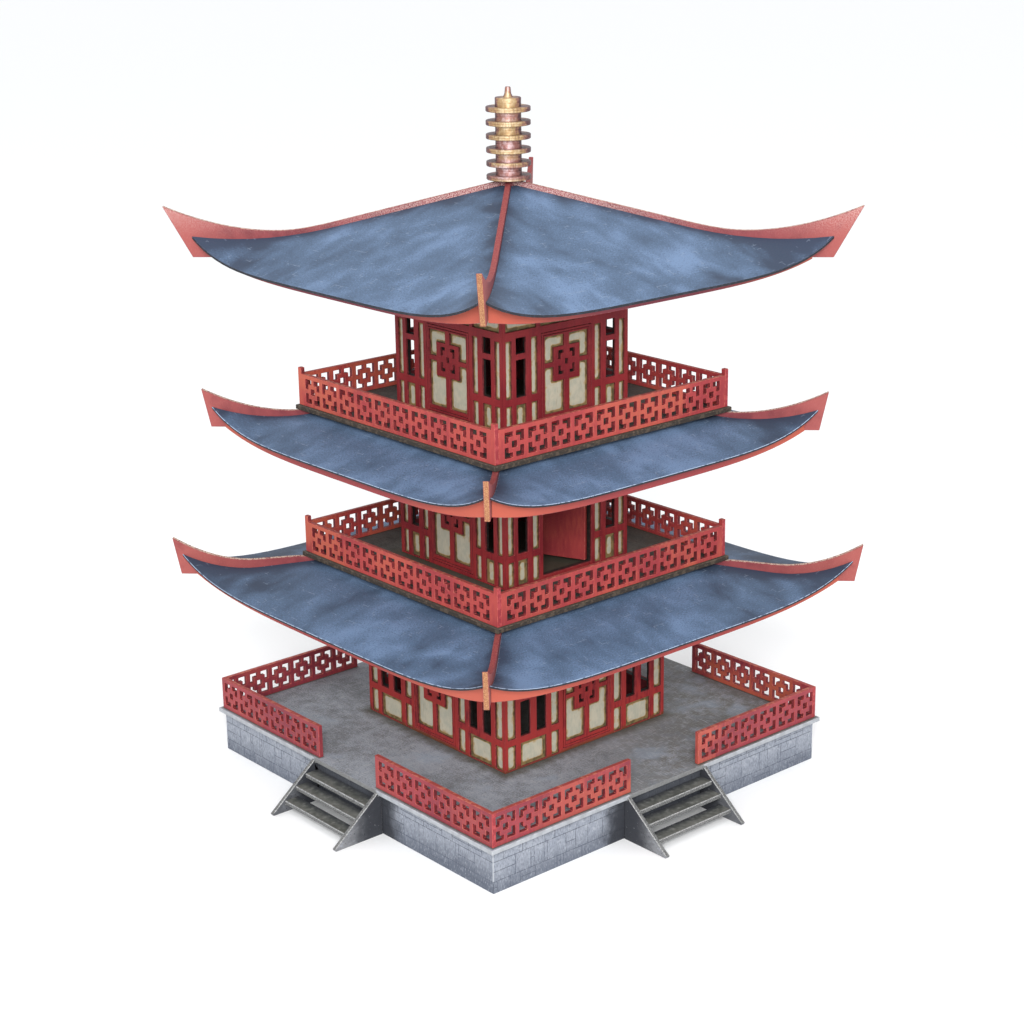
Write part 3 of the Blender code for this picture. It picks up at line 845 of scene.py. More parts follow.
print("bays:", BAYS[1]["narrow"], BAYS[2]["narrow"])

# A square fretwork motif sits in the middle, held by a stile above and below and a bar on each
# side, so the four painted panels around it are L-shaped. The motif is cut right through, and the
# dark room behind shows in it.

# %% Measure the door's panels
STILE = 1.4
PANEL_SIDE = 12.6
PANEL_HEIGHTS = (5.0, 39.0)
BAR = (25.4, 27.4)
MOTIF_HALF = 7.5
MOTIF = (18.9, 33.8)


def door_panels(floor):
    """Each panel as its outer rectangle and the notch that the motif takes out of it."""
    panels = []
    for hand in (-1, 1):
        for low, high in ((PANEL_HEIGHTS[0], BAR[0]), (BAR[1], PANEL_HEIGHTS[1])):
            outer = box_of(hand * STILE, hand * PANEL_SIDE, floor + low, floor + high)
            notch = box_of(0, hand * MOTIF_HALF, floor + MOTIF[0], floor + MOTIF[1])
            panels.append((outer, notch))
    return panels


def notched_holes(outer, notch):
    """An L-shaped hole as two rectangles, beside the notch and above or below it."""
    x0, x1, z0, z1 = outer
    beside = (x0, notch[0], z0, z1) if notch[0] > x0 else (notch[1], x1, z0, z1)
    over = (x0, x1, notch[3], z1) if notch[3] < z1 else (x0, x1, z0, notch[2])
    return [beside, over]


print("a doorway has", len(door_panels(0)), "L-shaped panels")

# %% Draw the motif and the ruled lines
MOTIF_HOLES = (4.8, 21.35, 32.15)
MOTIF_ARM = (3.1, 4.0, 1.5)
MOTIF_EYE = (1.8, 2.5)
GROOVE = 0.3


def motif_holes(floor):
    side, low, high = MOTIF_HOLES
    across, up, bar = MOTIF_ARM
    holes = []
    for hand in (-1, 1):
        for sill, way in ((floor + low, 1), (floor + high, -1)):
            holes.append(box_of(hand * side, hand * (side - across), sill, sill + way * bar))
            holes.append(box_of(hand * side, hand * (side - bar), sill, sill + way * up))
    wide, tall = MOTIF_EYE
    centre = floor + (low + high) / 2
    holes.append(box_of(-wide / 2, wide / 2, centre - tall / 2, centre + tall / 2))
    return holes


def ring_holes(half, low, high):
    """Four slots that together rule a rectangle."""
    return [
        box_of(-half, -half + GROOVE, low, high), box_of(half - GROOVE, half, low, high),
        box_of(-half, half, low, low + GROOVE), box_of(-half, half, high - GROOVE, high),
    ]


def door_frame_holes(floor):
    holes = motif_holes(floor)
    for outer, notch in door_panels(floor):
        holes += notched_holes(outer, notch)
    return holes


print("rectangles cut from a door's frame:", len(door_frame_holes(0)))

# %% [markdown]
# ## Painted infill
#
# The infill's paint follows one number: how deep a point lies inside its panel, in millimetres,
# with the corners rounded off as a brush rounds them. The number is worked out for each point of a
# fine grid and stored on the mesh as an attribute, which the material then reads.

# %% Grids that know their distance to the rim
INFILL_CELL = 0.7
INFILL_TUCK = 0.3
CORNER_ROUND = 2.4


def depth_in(box, x, z, rounding):
    x0, x1, z0, z1 = box
    rounding = min(rounding, (x1 - x0) / 2.2, (z1 - z0) / 2.2)
    over_x = max(x0 + rounding - x, x - x1 + rounding)
    over_z = max(z0 + rounding - z, z - z1 + rounding)
    if over_x > 0 and over_z > 0:
        return rounding - math.hypot(over_x, over_z)
    return rounding - max(over_x, over_z)


def distance_to(box, x, z):
    return math.hypot(max(box[0] - x, x - box[1], 0.0), max(box[2] - z, z - box[3], 0.0))


def grown(outline, margin):
    x0, x1, z0, z1 = outline
    return (x0 - margin, x1 + margin, z0 - margin, z1 + margin)


def infill(outer, notch=None, shy=0.0):
    """A painted sheet that fills one recess. shy keeps the cream further from the rim."""
    x0, x1, z0, z1 = grown(outer, INFILL_TUCK)
    columns, rows = (max(4, round((b - a) / INFILL_CELL)) for a, b in ((x0, x1), (z0, z1)))
    bm = flat_sheet(x0, x1, z0, z1, columns, rows)
    if notch:
        hidden = [face for face in bm.faces if inside(face, grown(notch, -INFILL_CELL))]
        bmesh.ops.delete(bm, geom=hidden, context="FACES")
    rim = bm.verts.layers.float.new("rim")
    for vert in bm.verts:
        x, z = vert.co.x / MM, vert.co.y / MM
        depth = depth_in(outer, x, z, CORNER_ROUND)
        if notch:
            depth = min(depth, distance_to(notch, x, z))
        vert[rim] = depth - shy
    return bm


panel = box_of(0.0, 10.0, 0.0, 20.0)
print("the middle of a panel lies", depth_in(panel, 5.0, 10.0, CORNER_ROUND), "mm deep")

# %% [markdown]
# ## The infill's paint
#
# From the rim inwards: an olive wash that pooled against the frame, a broken line of ochre where
# its edge dried, and the cream. The wash's edge wanders a little, as a hand's does.

# %% Mix the infill
CREAM = (0.500, 0.460, 0.355)
CREAM_COOL = (0.400, 0.390, 0.310)
OLIVE = (0.092, 0.070, 0.028)
OCHRE = (0.380, 0.235, 0.085)
GOLDEN_WASH = (0.210, 0.140, 0.052)
STREAK = (0.200, 0.165, 0.105)
WASH_WIDTH = 0.72


def infill_coat(name):
    paint = Paint(name)
    rim = paint.attribute("rim")
    wander = paint.noise(2.8, 2.0)
    depth = rim + wander * 0.8 - 0.4
    clouds = paint.noise(3.6, 3.0)
    strokes = paint.noise(0.7, 3.0, (1.0, 1.0, 6.0))
    cream = paint.mix((clouds * 0.6 + strokes * 0.4).rises(0.36, 0.62), CREAM_COOL, CREAM)
    spots = clouds.rises(0.52, 0.66) * depth.rises(WASH_WIDTH + 1.6, WASH_WIDTH + 0.2)
    cream = paint.mix(spots * 0.75, cream, OCHRE)
    cream = paint.mix(strokes.rises(0.60, 0.72) * 0.45, cream, STREAK)
    wash = paint.mix(wander.rises(0.38, 0.60), OLIVE, GOLDEN_WASH)
    dried = paint.mix(depth.rises(WASH_WIDTH - 0.25, WASH_WIDTH), wash, OCHRE)
    colour = paint.mix(depth.rises(WASH_WIDTH, WASH_WIDTH + 0.3), dried, cream)
    cover = depth.rises(WASH_WIDTH - 0.2, WASH_WIDTH + 0.3)
    return paint.finish(colour, 0.8 - cover * 0.15, cover + strokes * 0.3, 0.05)


INFILL = infill_coat("panel_infill")
print("infill coat reads the attribute rim; its wash is", WASH_WIDTH, "mm wide")

# %% [markdown]
# ## Assembling the walls
#
# The pieces of one wall are gathered in one mesh: the backing with its window edges in near-black
# painted shade, the red frame in front, and the painted infills between. The four walls of a storey
# meet at mitred corners. The narrow panels are cream almost to the frame. In the wide ones and the
# friezes the brush kept further from the rim, so there the cream is shy of it.

# %% Lay the infills and the two layers
PAINT_LIFT = 0.04
DOOR_SHY = 0.25


def add_infill(target, sheet, depth):
    """Lay a painted sheet just in front of the backing."""
    for face in sheet.faces:
        face.material_index = THIRD
    bmesh.ops.translate(sheet, vec=(0.0, 0.0, (depth + PAINT_LIFT) * MM), verts=sheet.verts)
    stand_up(sheet)
    join_into(target, sheet)


def leaf_infills(target, floor, depth):
    for outer, notch in door_panels(floor):
        add_infill(target, infill(outer, notch, DOOR_SHY), depth)


def two_layers(outline, back_holes, front_holes, seat):
    """The backing and, in front of it, the raised frame."""
    wall = board(outline, back_holes, seat - BACKING, seat, edge=0.0, wall_paint=FIFTH)
    for face in wall.faces:
        if face.normal.y > 0.5:
            face.material_index = BEHIND
    join_into(wall, board(outline, front_holes, seat, seat + RAISED))
    return wall


print("the infills lie", PAINT_LIFT, "mm in front of the backing")

# %% Gather one wall
WIDE_SHY = 0.85
FRIEZE_SHY = 0.9
INNER_RING = 1.2


def wall_mesh(storey, door):
    """door is open, for an empty doorway, or closed, for a leaf in relief."""
    half, floor, top = WALL_HALF[storey], FLOOR_TOP[storey], WALL_TOP[storey]
    side, low, high = DOORWAY[0], floor + DOORWAY[1], floor + DOORWAY[2]
    windows = window_holes(storey, floor)
    narrow, wide = panel_boxes(storey, floor)
    friezes = frieze_boxes(storey, floor)
    back_holes = window_holes(storey, floor, WINDOW_EASE)
    if door == "open":
        back_holes += [box_of(-side, side, low, high)]
        front_holes = windows + [box_of(-side, side, low, high)]
    else:
        back_holes += motif_holes(floor)
        front_holes = windows + door_frame_holes(floor) + ring_holes(side, low, high)
        front_holes += ring_holes(side - INNER_RING, low + INNER_RING, high - INNER_RING)
    front_holes += narrow + wide + friezes
    wall = two_layers(box_of(-half, half, floor + GAP, top), back_holes, front_holes, half - RAISED)
    mitre(wall, CORNER_GAP)
    for boxes, shy in ((narrow, 0.0), (wide, WIDE_SHY), (friezes, FRIEZE_SHY)):
        for box in boxes:
            add_infill(wall, infill(box, shy=shy), half - RAISED)
    if door == "closed":
        leaf_infills(wall, floor, half - RAISED)
    return mesh_of(wall, f"wall_{storey}_{door}")


WALL_KINDS = ((1, "open"), (2, "open"), (2, "closed"), (3, "closed"))
WALL_MESHES = {kind: wall_mesh(*kind) for kind in WALL_KINDS}
print("faces of each kind of wall:", [len(mesh.polygons) for mesh in WALL_MESHES.values()])

# %% Gather the hinged leaf and hang them all
DOOR_HALF = 14.0
LEAF_RING = 0.9


def leaf_mesh():
    """The hinged leaf of a ground doorway, closed."""
    half, floor = WALL_HALF[1], FLOOR_TOP[1]
    low, high = floor + DOORWAY[1] + GAP, floor + DOORWAY[2] - GAP
    ring = ring_holes(DOOR_HALF - LEAF_RING, low + LEAF_RING, high - LEAF_RING)
    outline = box_of(-DOOR_HALF, DOORWAY[0] - GAP, low, high)
    leaf = two_layers(outline, motif_holes(floor), door_frame_holes(floor) + ring, half - RAISED)
    leaf_infills(leaf, floor, half - RAISED)
    return mesh_of(leaf, "leaf")


def build_walls():
    paints = (WALL_RED, WALL_EDGE, INFILL, SHADED_REVEAL, SHADED_WINDOW_EDGE, SHADED_ROOM)
    leaf = leaf_mesh()
    for turn, side in enumerate(SIDES):
        for storey in (1, 2, 3):
            door = "open" if storey == 1 or (storey, side) == (2, "right") else "closed"
            node, mesh = f"wall_{storey}_{side}", WALL_MESHES[storey, door]
            add_piece(node + "_panelled", mesh, paints, [node], turn=turn)
        node = f"door_1_{side}"
        add_piece(node + "_leaf", leaf, paints, [node], body=f"door_{side}", turn=turn)


rails_made = len(made_pieces)
build_walls()
print("walls and leaves:", faces_since(rails_made), "faces")

# %% [markdown]
# ## Roof sheets
#
# A roof is four thin sheets, bent so that each is nearly flat along its middle and sweeps up
# towards the hips. The height follows one formula: a straight slope, plus a lift that grows with
# the fifth power of the way across, so it is felt only near the corners. A flat grid is bent by
# that formula and then given its thickness. Its points also keep two numbers, how far along the
# eave and how far down the slope they are, so that the slates' marks can follow the bend.

# %% Draw the roofs' shapes
ROOFS = {
    "roof_1": {
        "apex": 109.2, "slope": 0.20, "curl_start": 83.5, "curl": 0.0177,
        "inner": 60.0, "eave": 109.6, "tip": 111.8, "foot": 109.4, "foot_z": 88.5,
        "rib_gain": 3.0, "rib_power": 0.7, "fascia": 105.2, "fascia_mid": 82.2, "fascia_rise": 6.9,
        "wall_half": WALL_HALF[1], "cap": low_corner("floor_2").z,
    },
    "roof_2": {
        "apex": 182.2, "slope": 0.25, "curl_start": 65.0, "curl": 0.0117,
        "inner": 61.0, "eave": 97.0, "tip": 99.2, "foot": 96.6, "foot_z": 159.3,
        "rib_gain": 3.8, "rib_power": 1.2, "fascia": 92.8, "fascia_mid": 152.6, "fascia_rise": 6.9,
        "wall_half": WALL_HALF[2], "cap": low_corner("floor_3").z,
    },
    "roof_3": {
        "apex": 269.3, "slope": 0.345, "curl_start": 55.0, "curl": 0.0061,
        "inner": 3.2, "eave": 100.0, "tip": 108.0, "foot": 99.2, "foot_z": 236.8,
        "rib_gain": 8.2, "rib_power": 1.5, "fascia": 93.6, "fascia_mid": 230.7, "fascia_rise": 5.9,
        "wall_half": WALL_HALF[3], "cap": low_corner("finial").z,
    },
}
SWEEP_POWER = 5


def hip_height(roof, distance):
    curl = max(0.0, distance - roof["curl_start"])
    return roof["apex"] - roof["slope"] * distance + roof["curl"] * curl**2


def slate_height(roof, distance, x):
    flat = roof["apex"] - roof["slope"] * distance
    return flat + (hip_height(roof, distance) - flat) * min(1.0, abs(x) / distance) ** SWEEP_POWER


print("roof tips at", [round(hip_height(roof, roof["eave"]), 1) for roof in ROOFS.values()], "mm")

# %% Bend and thicken the sheets
SLATE = 1.0
SLATE_EDGE = 0.16
SLATE_EDGE_ANGLE = 40.0
HIP_WIDTH = 2.3
HIP_CLEAR = 0.2
SHEET_CLEAR = HIP_WIDTH / 2 * math.sqrt(2) + HIP_CLEAR
SHEET_COLUMNS, SHEET_ROWS = 36, 16
ABOVE, BELOW, SIDE, CAUGHT = range(4)


def slate_sheet(roof):
    """The front slope, with paints of its own above, below, on its edges and where they caught."""
    bm = bmesh.new()
    bmesh.ops.create_grid(bm, x_segments=SHEET_COLUMNS, y_segments=SHEET_ROWS, size=1.0)
    along = bm.verts.layers.float.new("along")
    down = bm.verts.layers.float.new("down")
    for vert in bm.verts:
        distance = roof["inner"] + (roof["eave"] - roof["inner"]) * (vert.co.y + 1) / 2
        x = math.sin(vert.co.x * math.pi / 2) * (distance - SHEET_CLEAR)
        vert[along], vert[down] = x, distance
        vert.co = Vector((x, -distance, slate_height(roof, distance, x))) * MM
    top = set(bm.faces)
    thicken(bm, -SLATE, 0.0)
    for face in bm.faces:
        under = SIDE if abs(face.normal.z) < 0.5 else BELOW
        face.material_index = ABOVE if face in top else under
    for face in soften(bm, SLATE_EDGE, SLATE_EDGE_ANGLE):
        face.material_index = CAUGHT if face.normal.z > 0.1 else SIDE
    return bm


print("a sheet keeps", round(SHEET_CLEAR, 2), "mm from the hip's middle line")

# %% [markdown]
# ## Hip and fascia boards
#
# Between two sheets stands a hip board, a little thicker than the sheet, whose top edge follows
# the roof and flares into a horn at its tip. Under each sheet runs a fascia board, its lower edge
# bowed up at both ends. They are cut from flat board, so their outlines are formulas and their
# faces are flat. The top roof's four hip boards lean on a square king post.

# %% Outline the hip boards
HIP_HEIGHT = 1.9
HIP_GROWS_FROM = 66.0
HIP_STEPS = 44
CAPPED_WITHIN = 72.2
KING_POST_HALF = 2.4


def hip_top(roof, distance):
    growth = max(0.0, distance - HIP_GROWS_FROM) / (roof["tip"] - HIP_GROWS_FROM)
    rib = HIP_HEIGHT + roof["rib_gain"] * growth ** roof["rib_power"]
    height = hip_height(roof, distance) + rib
    return min(height, roof["cap"] - GAP) if distance < CAPPED_WITHIN else height


def hip_outline(roof):
    """Distances from the centre line, square to a side, with their heights."""
    corner = roof["wall_half"] + GAP
    start = KING_POST_HALF / 2 if roof["inner"] < corner else corner
    outline = [(roof["foot"], roof["foot_z"]), (corner, roof["foot_z"])]
    if start < corner:
        outline += [(corner, WALL_TOP[3] + GAP), (start, WALL_TOP[3] + GAP)]
    for i in range(HIP_STEPS + 1):
        distance = start + (roof["tip"] - start) * i / HIP_STEPS
        outline.append((distance, hip_top(roof, distance)))
    return outline


print("a hip board's outline has", len(hip_outline(ROOFS["roof_3"])), "points")

# %% Cut a hip board
ROOF_BOARD_EDGE = 0.15
SMALLEST_CUT = 2.0


def hip_board(roof):
    """At the front right corner. Its cut tip is the third paint, its upper edge the fourth."""
    points = [(distance * math.sqrt(2), z) for distance, z in hip_outline(roof)]
    bm = bmesh.new()
    bm.faces.new([bm.verts.new((x * MM, z * MM, 0.0)) for x, z in points])
    thicken(bm, -HIP_WIDTH / 2, HIP_WIDTH / 2)
    soften(bm, ROOF_BOARD_EDGE)
    stand_up(bm)
    for face in bm.faces:
        if face.normal.x > 0.75 and face.calc_area() > SMALLEST_CUT * MM * MM:
            face.material_index = THIRD
        elif abs(face.normal.y) < 0.1 and face.normal.z > 0.3:
            face.material_index = HOLE
    bmesh.ops.rotate(bm, verts=bm.verts, matrix=Matrix.Rotation(-math.pi / 4, 3, "Z"))
    return bm


print("hip boards are", HIP_WIDTH, "mm thick")

# %% Cut a fascia board
FASCIA_COLUMNS = 40
UNDER_SHEET = 0.12
BOW_POWER = 4


def fascia_board(roof):
    half = roof["fascia"]
    bm = bmesh.new()
    bmesh.ops.create_grid(bm, x_segments=FASCIA_COLUMNS, y_segments=1, size=1.0)
    for vert in bm.verts:
        across = math.sin(vert.co.x * math.pi / 2)
        low = roof["fascia_mid"] + roof["fascia_rise"] * across**BOW_POWER
        high = slate_height(roof, half, across * half) - SLATE - UNDER_SHEET
        vert.co = Vector((across * half, high if vert.co.y > 0 else low, 0.0)) * MM
    thicken(bm, half - SHEET, half)
    for face in bm.faces:
        face.material_index = FIFTH
    soften(bm, ROOF_BOARD_EDGE)
    stand_up(bm)
    mitre(bm, HIP_WIDTH + HIP_CLEAR)
    return bm


print("fascia boards' lower edges rise", [roof["fascia_rise"] for roof in ROOFS.values()], "mm")

# %% Copy a piece to all four sides, and cut the king post
KING_POST_EDGE = 0.2


def four_round(bm):
    """The same piece on all four sides, as one bmesh."""
    first = bm.verts[:] + bm.edges[:] + bm.faces[:]
    for turn in (1, 2, 3):
        copied = bmesh.ops.duplicate(bm, geom=first)
        verts = only(bmesh.types.BMVert, copied["geom"])
        bmesh.ops.rotate(bm, verts=verts, matrix=Matrix.Rotation(turn * math.pi / 2, 3, "Z"))
    return bm


def king_post(roof):
    half, low, high = KING_POST_HALF, WALL_TOP[3] - 1, roof["cap"] - 2 * GAP
    return board(box_of(-half, half, low, high), [], -half, half, KING_POST_EDGE)


print("the king post is", 2 * KING_POST_HALF, "mm wide")

# %% [markdown]
# ## Slate paint
#
# The roofs are navy under two lighter greys, rubbed on in soft clouds that follow the eaves.
# Painted shade keeps the navy beside the hips and darkens the narrow ends at the left and right
# corners, and the middle roof carries a little painted light. Here and there a short pale double
# stroke marks a slate. The sheets' thick edges are almost black, under one thin light line where
# the eave was caught.

# %% Mix the slates
SLATE_DARK = (0.028, 0.045, 0.082)
SLATE_MID = (0.071, 0.117, 0.197)
SLATE_PALE = (0.146, 0.226, 0.372)
SLATE_MARK = (0.280, 0.345, 0.450)
SLATE_LENGTH = 4.6
SLATE_ROW = 3.1
SLATE_JOINT = 0.16
HIP_SHADE = 0.22
HIP_SHADE_WIDTH = 18.0
TIP_SHADE = 0.15
MIDDLE_LIGHT = 0.06
ABOVE_ROOF_1 = (120.0, 130.0)
BELOW_ROOF_3 = (205.0, 195.0)


def slate_marks(paint, flat):
    """Joints of a course of slates, shown only in a few small places."""
    sizes = {"Mortar Size": SLATE_JOINT, "Brick Width": SLATE_LENGTH, "Row Height": SLATE_ROW}
    joints = paint.add("Brick", {"offset": 0.5}, {"Vector": flat, "Scale": 1.0, **sizes}, "Fac")
    return joints * paint.noise(6.0, 2.0, (1.0, 1.0, 1.0), flat).rises(0.60, 0.66)


def slate_light_and_shade(paint, along, down):
    """Painted light and shade: darker by the hips and at the side corners, lighter on the middle
    roof.
    """
    x, y, z = paint.axes()
    near_hip = (down - abs(along)).rises(HIP_SHADE_WIDTH, 0.0)
    tips = abs(x + y).rises(100.0, 165.0)
    middle_roof = z.rises(*ABOVE_ROOF_1) * z.rises(*BELOW_ROOF_3)
    return middle_roof * MIDDLE_LIGHT - tips * TIP_SHADE - near_hip * HIP_SHADE


def slate_coat(name):
    paint = Paint(name)
    along, down = paint.attribute("along"), paint.attribute("down")
    flat = paint.vector(along, down)
    clouds = paint.noise(30.0, 2.0, swirl=0.6)
    smears = paint.noise(10.0, 4.0, (1.0, 1.7, 1.0), flat, swirl=0.3)
    grain = paint.noise(0.55, 3.0, (1.0, 1.6, 1.0), flat)
    # The clouds, plus the painted light and shade of the roof's place.
    light = clouds * 0.6 + smears * 0.4 + grain * 0.2 - 0.08 + slate_light_and_shade(paint, along, down)
    colour = paint.mix(light.rises(0.26, 0.50), SLATE_DARK, SLATE_MID)
    colour = paint.mix(light.rises(0.46, 0.72), colour, SLATE_PALE)
    colour = paint.mix(grain.rises(0.54, 0.70) * light.rises(0.30, 0.55) * 0.5, colour, SLATE_PALE)
    colour = paint.mix(grain.rises(0.46, 0.32) * 0.45, colour, SLATE_DARK)
    marks = slate_marks(paint, flat)
    colour = paint.mix(marks * 0.4, colour, SLATE_MARK)
    return paint.finish(colour, 0.62 + grain * 0.2, grain - marks * 0.6, 0.05)


print("slates are", SLATE_LENGTH, "by", SLATE_ROW, "mm")

# %% [markdown]
# ## Paint of the hips and fascias
#
# Towards their tips the hip boards were dry-brushed paler and paler, to a dusty salmon, and the
# paler tips are partly a painted highlight. A coarse pink dust lies along the upper edges of the
# left and right corners' boards, thickest near the finial, but those of the front and back corners
# were painted over once more. The fascias are brick red, the top roof's plum, and warm to orange at
# the corners as a painted highlight.

# %% Mix the roof boards' reds
HORN_DEEP = (0.150, 0.017, 0.025)
HORN_WARM = (0.225, 0.034, 0.040)
HORN_PALE = (0.290, 0.061, 0.053)
HORN_DUST = (0.370, 0.135, 0.120)
PINK_DUST = (0.600, 0.420, 0.390)
CREAM_DUST = (0.620, 0.480, 0.370)
PLUM = (0.175, 0.020, 0.036)
BRICK_RED = (0.270, 0.027, 0.023)
CORNER_HIGHLIGHT_ORANGE = (0.400, 0.072, 0.040)


def beside(paint):
    """1 on the left and right corners' boards, 0 on the front and back corners'."""
    x, y, _ = paint.axes()
    return (abs(x + y) - abs(x - y)).rises(-2.0, 2.0)


def horn_coat(name):
    paint = Paint(name)
    z = paint.axes()[2]
    outward = paint.outward().rises(72.0, 108.0)
    clouds = paint.noise(9.0, 3.0)
    grains = paint.noise(0.4, 3.0)
    colour = paint.mix(clouds.rises(0.35, 0.65), HORN_DEEP, HORN_WARM)
    # Paler towards the tips: dry brushing, and partly a painted highlight.
    colour = paint.mix(outward * clouds.rises(0.10, 0.50), colour, HORN_PALE)
    colour = paint.mix(grains.rises(0.54, 0.70) * (outward * 0.3 + 0.15), colour, HORN_DUST)
    dusted = z.rises(244.0, 266.0) * beside(paint) * grains.rises(0.42, 0.56)
    colour = paint.mix(dusted * 0.7, colour, PINK_DUST)
    return paint.finish(colour, 0.7, grains, 0.04)


def hip_top_coat(name):
    paint = Paint(name)
    grains = paint.noise(0.7, 3.0)
    colour = paint.mix(grains.rises(0.40, 0.60), HORN_WARM, HORN_PALE)
    colour = paint.mix(grains.rises(0.42, 0.54) * beside(paint), colour, CREAM_DUST)
    return paint.finish(colour, 0.75, grains, 0.04)


def fascia_coat(name):
    paint = Paint(name)
    z = paint.axes()[2]
    drift = paint.noise(14.0, 3.0)
    # Painted highlight: orange towards both ends of each fascia, at the corners.
    corner = (paint.sideways() + drift * 30.0 - 15.0).rises(20.0, 92.0)
    grains = paint.noise(0.4, 3.0)
    middle = paint.mix(z.rises(100.0, 230.0), BRICK_RED, PLUM)
    colour = paint.mix(corner, middle, CORNER_HIGHLIGHT_ORANGE)
    colour = paint.mix(grains.rises(0.58, 0.75) * 0.08, colour, SALMON)
    return paint.finish(colour, 0.6, grains, 0.03)


print("the fascias go from", BRICK_RED, "to", PLUM)

# %% [markdown]
# ## Raising the roofs
#
# One slope, one hip board and one fascia board are made for each roof and copied round the centre
# line. The slates are one piece and the boards another, as in the solid model. The sheets' bend is
# shaded smooth, and the undersides are a dark plum that hardly shows.

# %% Assemble the three roofs
SLATE_UNDER = (0.040, 0.028, 0.032)
SLATE_UNDER_PALE = (0.080, 0.064, 0.072)
SLATE_SIDE = (0.005, 0.006, 0.012)
SLATE_SIDE_PALE = (0.014, 0.016, 0.028)
SLATE_CAUGHT = (0.110, 0.150, 0.230)
SLATE_CAUGHT_PALE = (0.340, 0.420, 0.560)
SLATE_SMOOTH = 30.0


def slate_paints():
    under = two_tone("slate_under", SLATE_UNDER, SLATE_UNDER_PALE)
    side = two_tone("slate_side", SLATE_SIDE, SLATE_SIDE_PALE, share=0.4)
    caught = two_tone("slate_caught", SLATE_CAUGHT, SLATE_CAUGHT_PALE, share=0.8)
    return slate_coat("slate"), under, side, caught


def board_paints():
    rim = two_tone("horn_rim", HORN_WARM, HORN_DUST, share=0.35)
    return horn_coat("horn"), rim, END_GRAIN, hip_top_coat("hip_top"), fascia_coat("fascia")


def build_roofs():
    on_sheets, on_boards = slate_paints(), board_paints()
    for name, roof in ROOFS.items():
        sheets = mesh_of(four_round(slate_sheet(roof)), name, SLATE_SMOOTH)
        add_piece(name + "_slates", sheets, on_sheets, [name + "_shell"])
        boards = four_round(hip_board(roof))
        join_into(boards, four_round(fascia_board(roof)))
        if name == "roof_3":
            join_into(boards, king_post(roof))
        add_piece(name + "_boards", mesh_of(boards, name), on_boards, [name + "_frame"])


walls_made = len(made_pieces)
build_roofs()
print("roofs:", faces_since(walls_made), "faces")

# %% [markdown]
# ## Cut stone
#
# The plinth is board too, but engraved as squared stone: a low course, a tall one and a narrow one
# under the deck, with stones of very uneven widths and some split again. A sheet is ruled into
# courses, every course is cut at uneven steps, and each block is inset so that its rim slopes down
# into a groove. At the foot of each corner one finger of the box joint shows. The widths are drawn
# by chance, from a fixed seed, so that every run lays the same stones.

# %% Cut the courses into stones
COURSE_LINES = (5.3, 14.2)
STONE_WIDTHS = (1.8, 5.5, 7.0, 8.5, 10.5, 12.0)
SHORTEST_STONE = 4.0
SPLIT_CHANCE = 0.22
SAME_ROW = 0.1


def cut_course(bm, low, high, chance):
    """Cut one course into stones, left to right. The lowest starts with the corner's finger."""
    middle = (low + high) / 2
    x = -PLINTH_HALF + (SHEET if low == 0.0 else chance.choice(STONE_WIDTHS[1:]))
    while x < PLINTH_HALF - SHORTEST_STONE:
        centres = {face: face.calc_center_bounds() / MM for face in bm.faces}
        row = [face for face, centre in centres.items() if abs(centre.y - middle) < SAME_ROW]
        rule_line(bm, 0, x, [max(row, key=lambda face: centres[face].x)])
        x += chance.choice(STONE_WIDTHS)


def blocks(bm, top, chance):
    for line in COURSE_LINES:
        rule_line(bm, 1, line)
    for low, high in zip((0.0, *COURSE_LINES), (*COURSE_LINES, top)):
        cut_course(bm, low, high, chance)
    for stone in bm.faces[:]:
        if chance.random() < SPLIT_CHANCE:
            rule_line(bm, 1, stone.calc_center_bounds().y / MM, [stone])


print("courses meet at", COURSE_LINES, "mm")

# %% Engrave the plinth
GROOVE_DEPTH = 0.14
GROOVE_WIDTH = 0.17
STONE_SEED = 7


def close_back(bm, stones):
    """Give the sheet of stones its rim and its back, both the third paint."""
    made = bmesh.ops.extrude_edge_only(bm, edges=[edge for edge in bm.edges if edge.is_boundary])
    back = only(bmesh.types.BMVert, made["geom"])
    bmesh.ops.translate(bm, vec=(0.0, 0.0, (GROOVE_DEPTH - SHEET) * MM), verts=back)
    bmesh.ops.holes_fill(bm, edges=[edge for edge in bm.edges if edge.is_boundary], sides=0)
    for face in bm.faces:
        face.material_index = FACE if face in stones else THIRD
    bmesh.ops.recalc_face_normals(bm, faces=bm.faces)


def plinth_side():
    """One engraved sheet: the stones are the face paint, the grooves the rims'."""
    half, top = PLINTH_HALF, PLINTH_TOP
    bm = flat_sheet(-half, half, 0.0, top)
    blocks(bm, top, random.Random(STONE_SEED))
    bmesh.ops.translate(bm, vec=(0.0, 0.0, (half - GROOVE_DEPTH) * MM), verts=bm.verts)
    stones = bm.faces[:]
    close_back(bm, set(stones))
    made = bmesh.ops.inset_individual(
        bm, faces=stones, thickness=GROOVE_WIDTH * MM, depth=GROOVE_DEPTH * MM, use_even_offset=True
    )
    for face in made["faces"]:
        face.material_index = RIM
    stand_up(bm)
    mitre(bm, CORNER_GAP)
    return bm


print("grooves are", GROOVE_WIDTH, "mm wide and", GROOVE_DEPTH, "mm deep")

# %% [markdown]
# ## Stone paint
#
# Stone here is a blue grey over a dark wash. A lighter grey is dragged over the faces, with a fine
# grit. The plinth shows the board's fine upright weave, and is darkest near the ground. It carries
# painted shade under the deck and behind the steps, and dark blotches beside them. On the front
# side the wash climbs a little higher towards the front corner. A few white specks landed on it,
# and each corner carries a light line above its box joint.

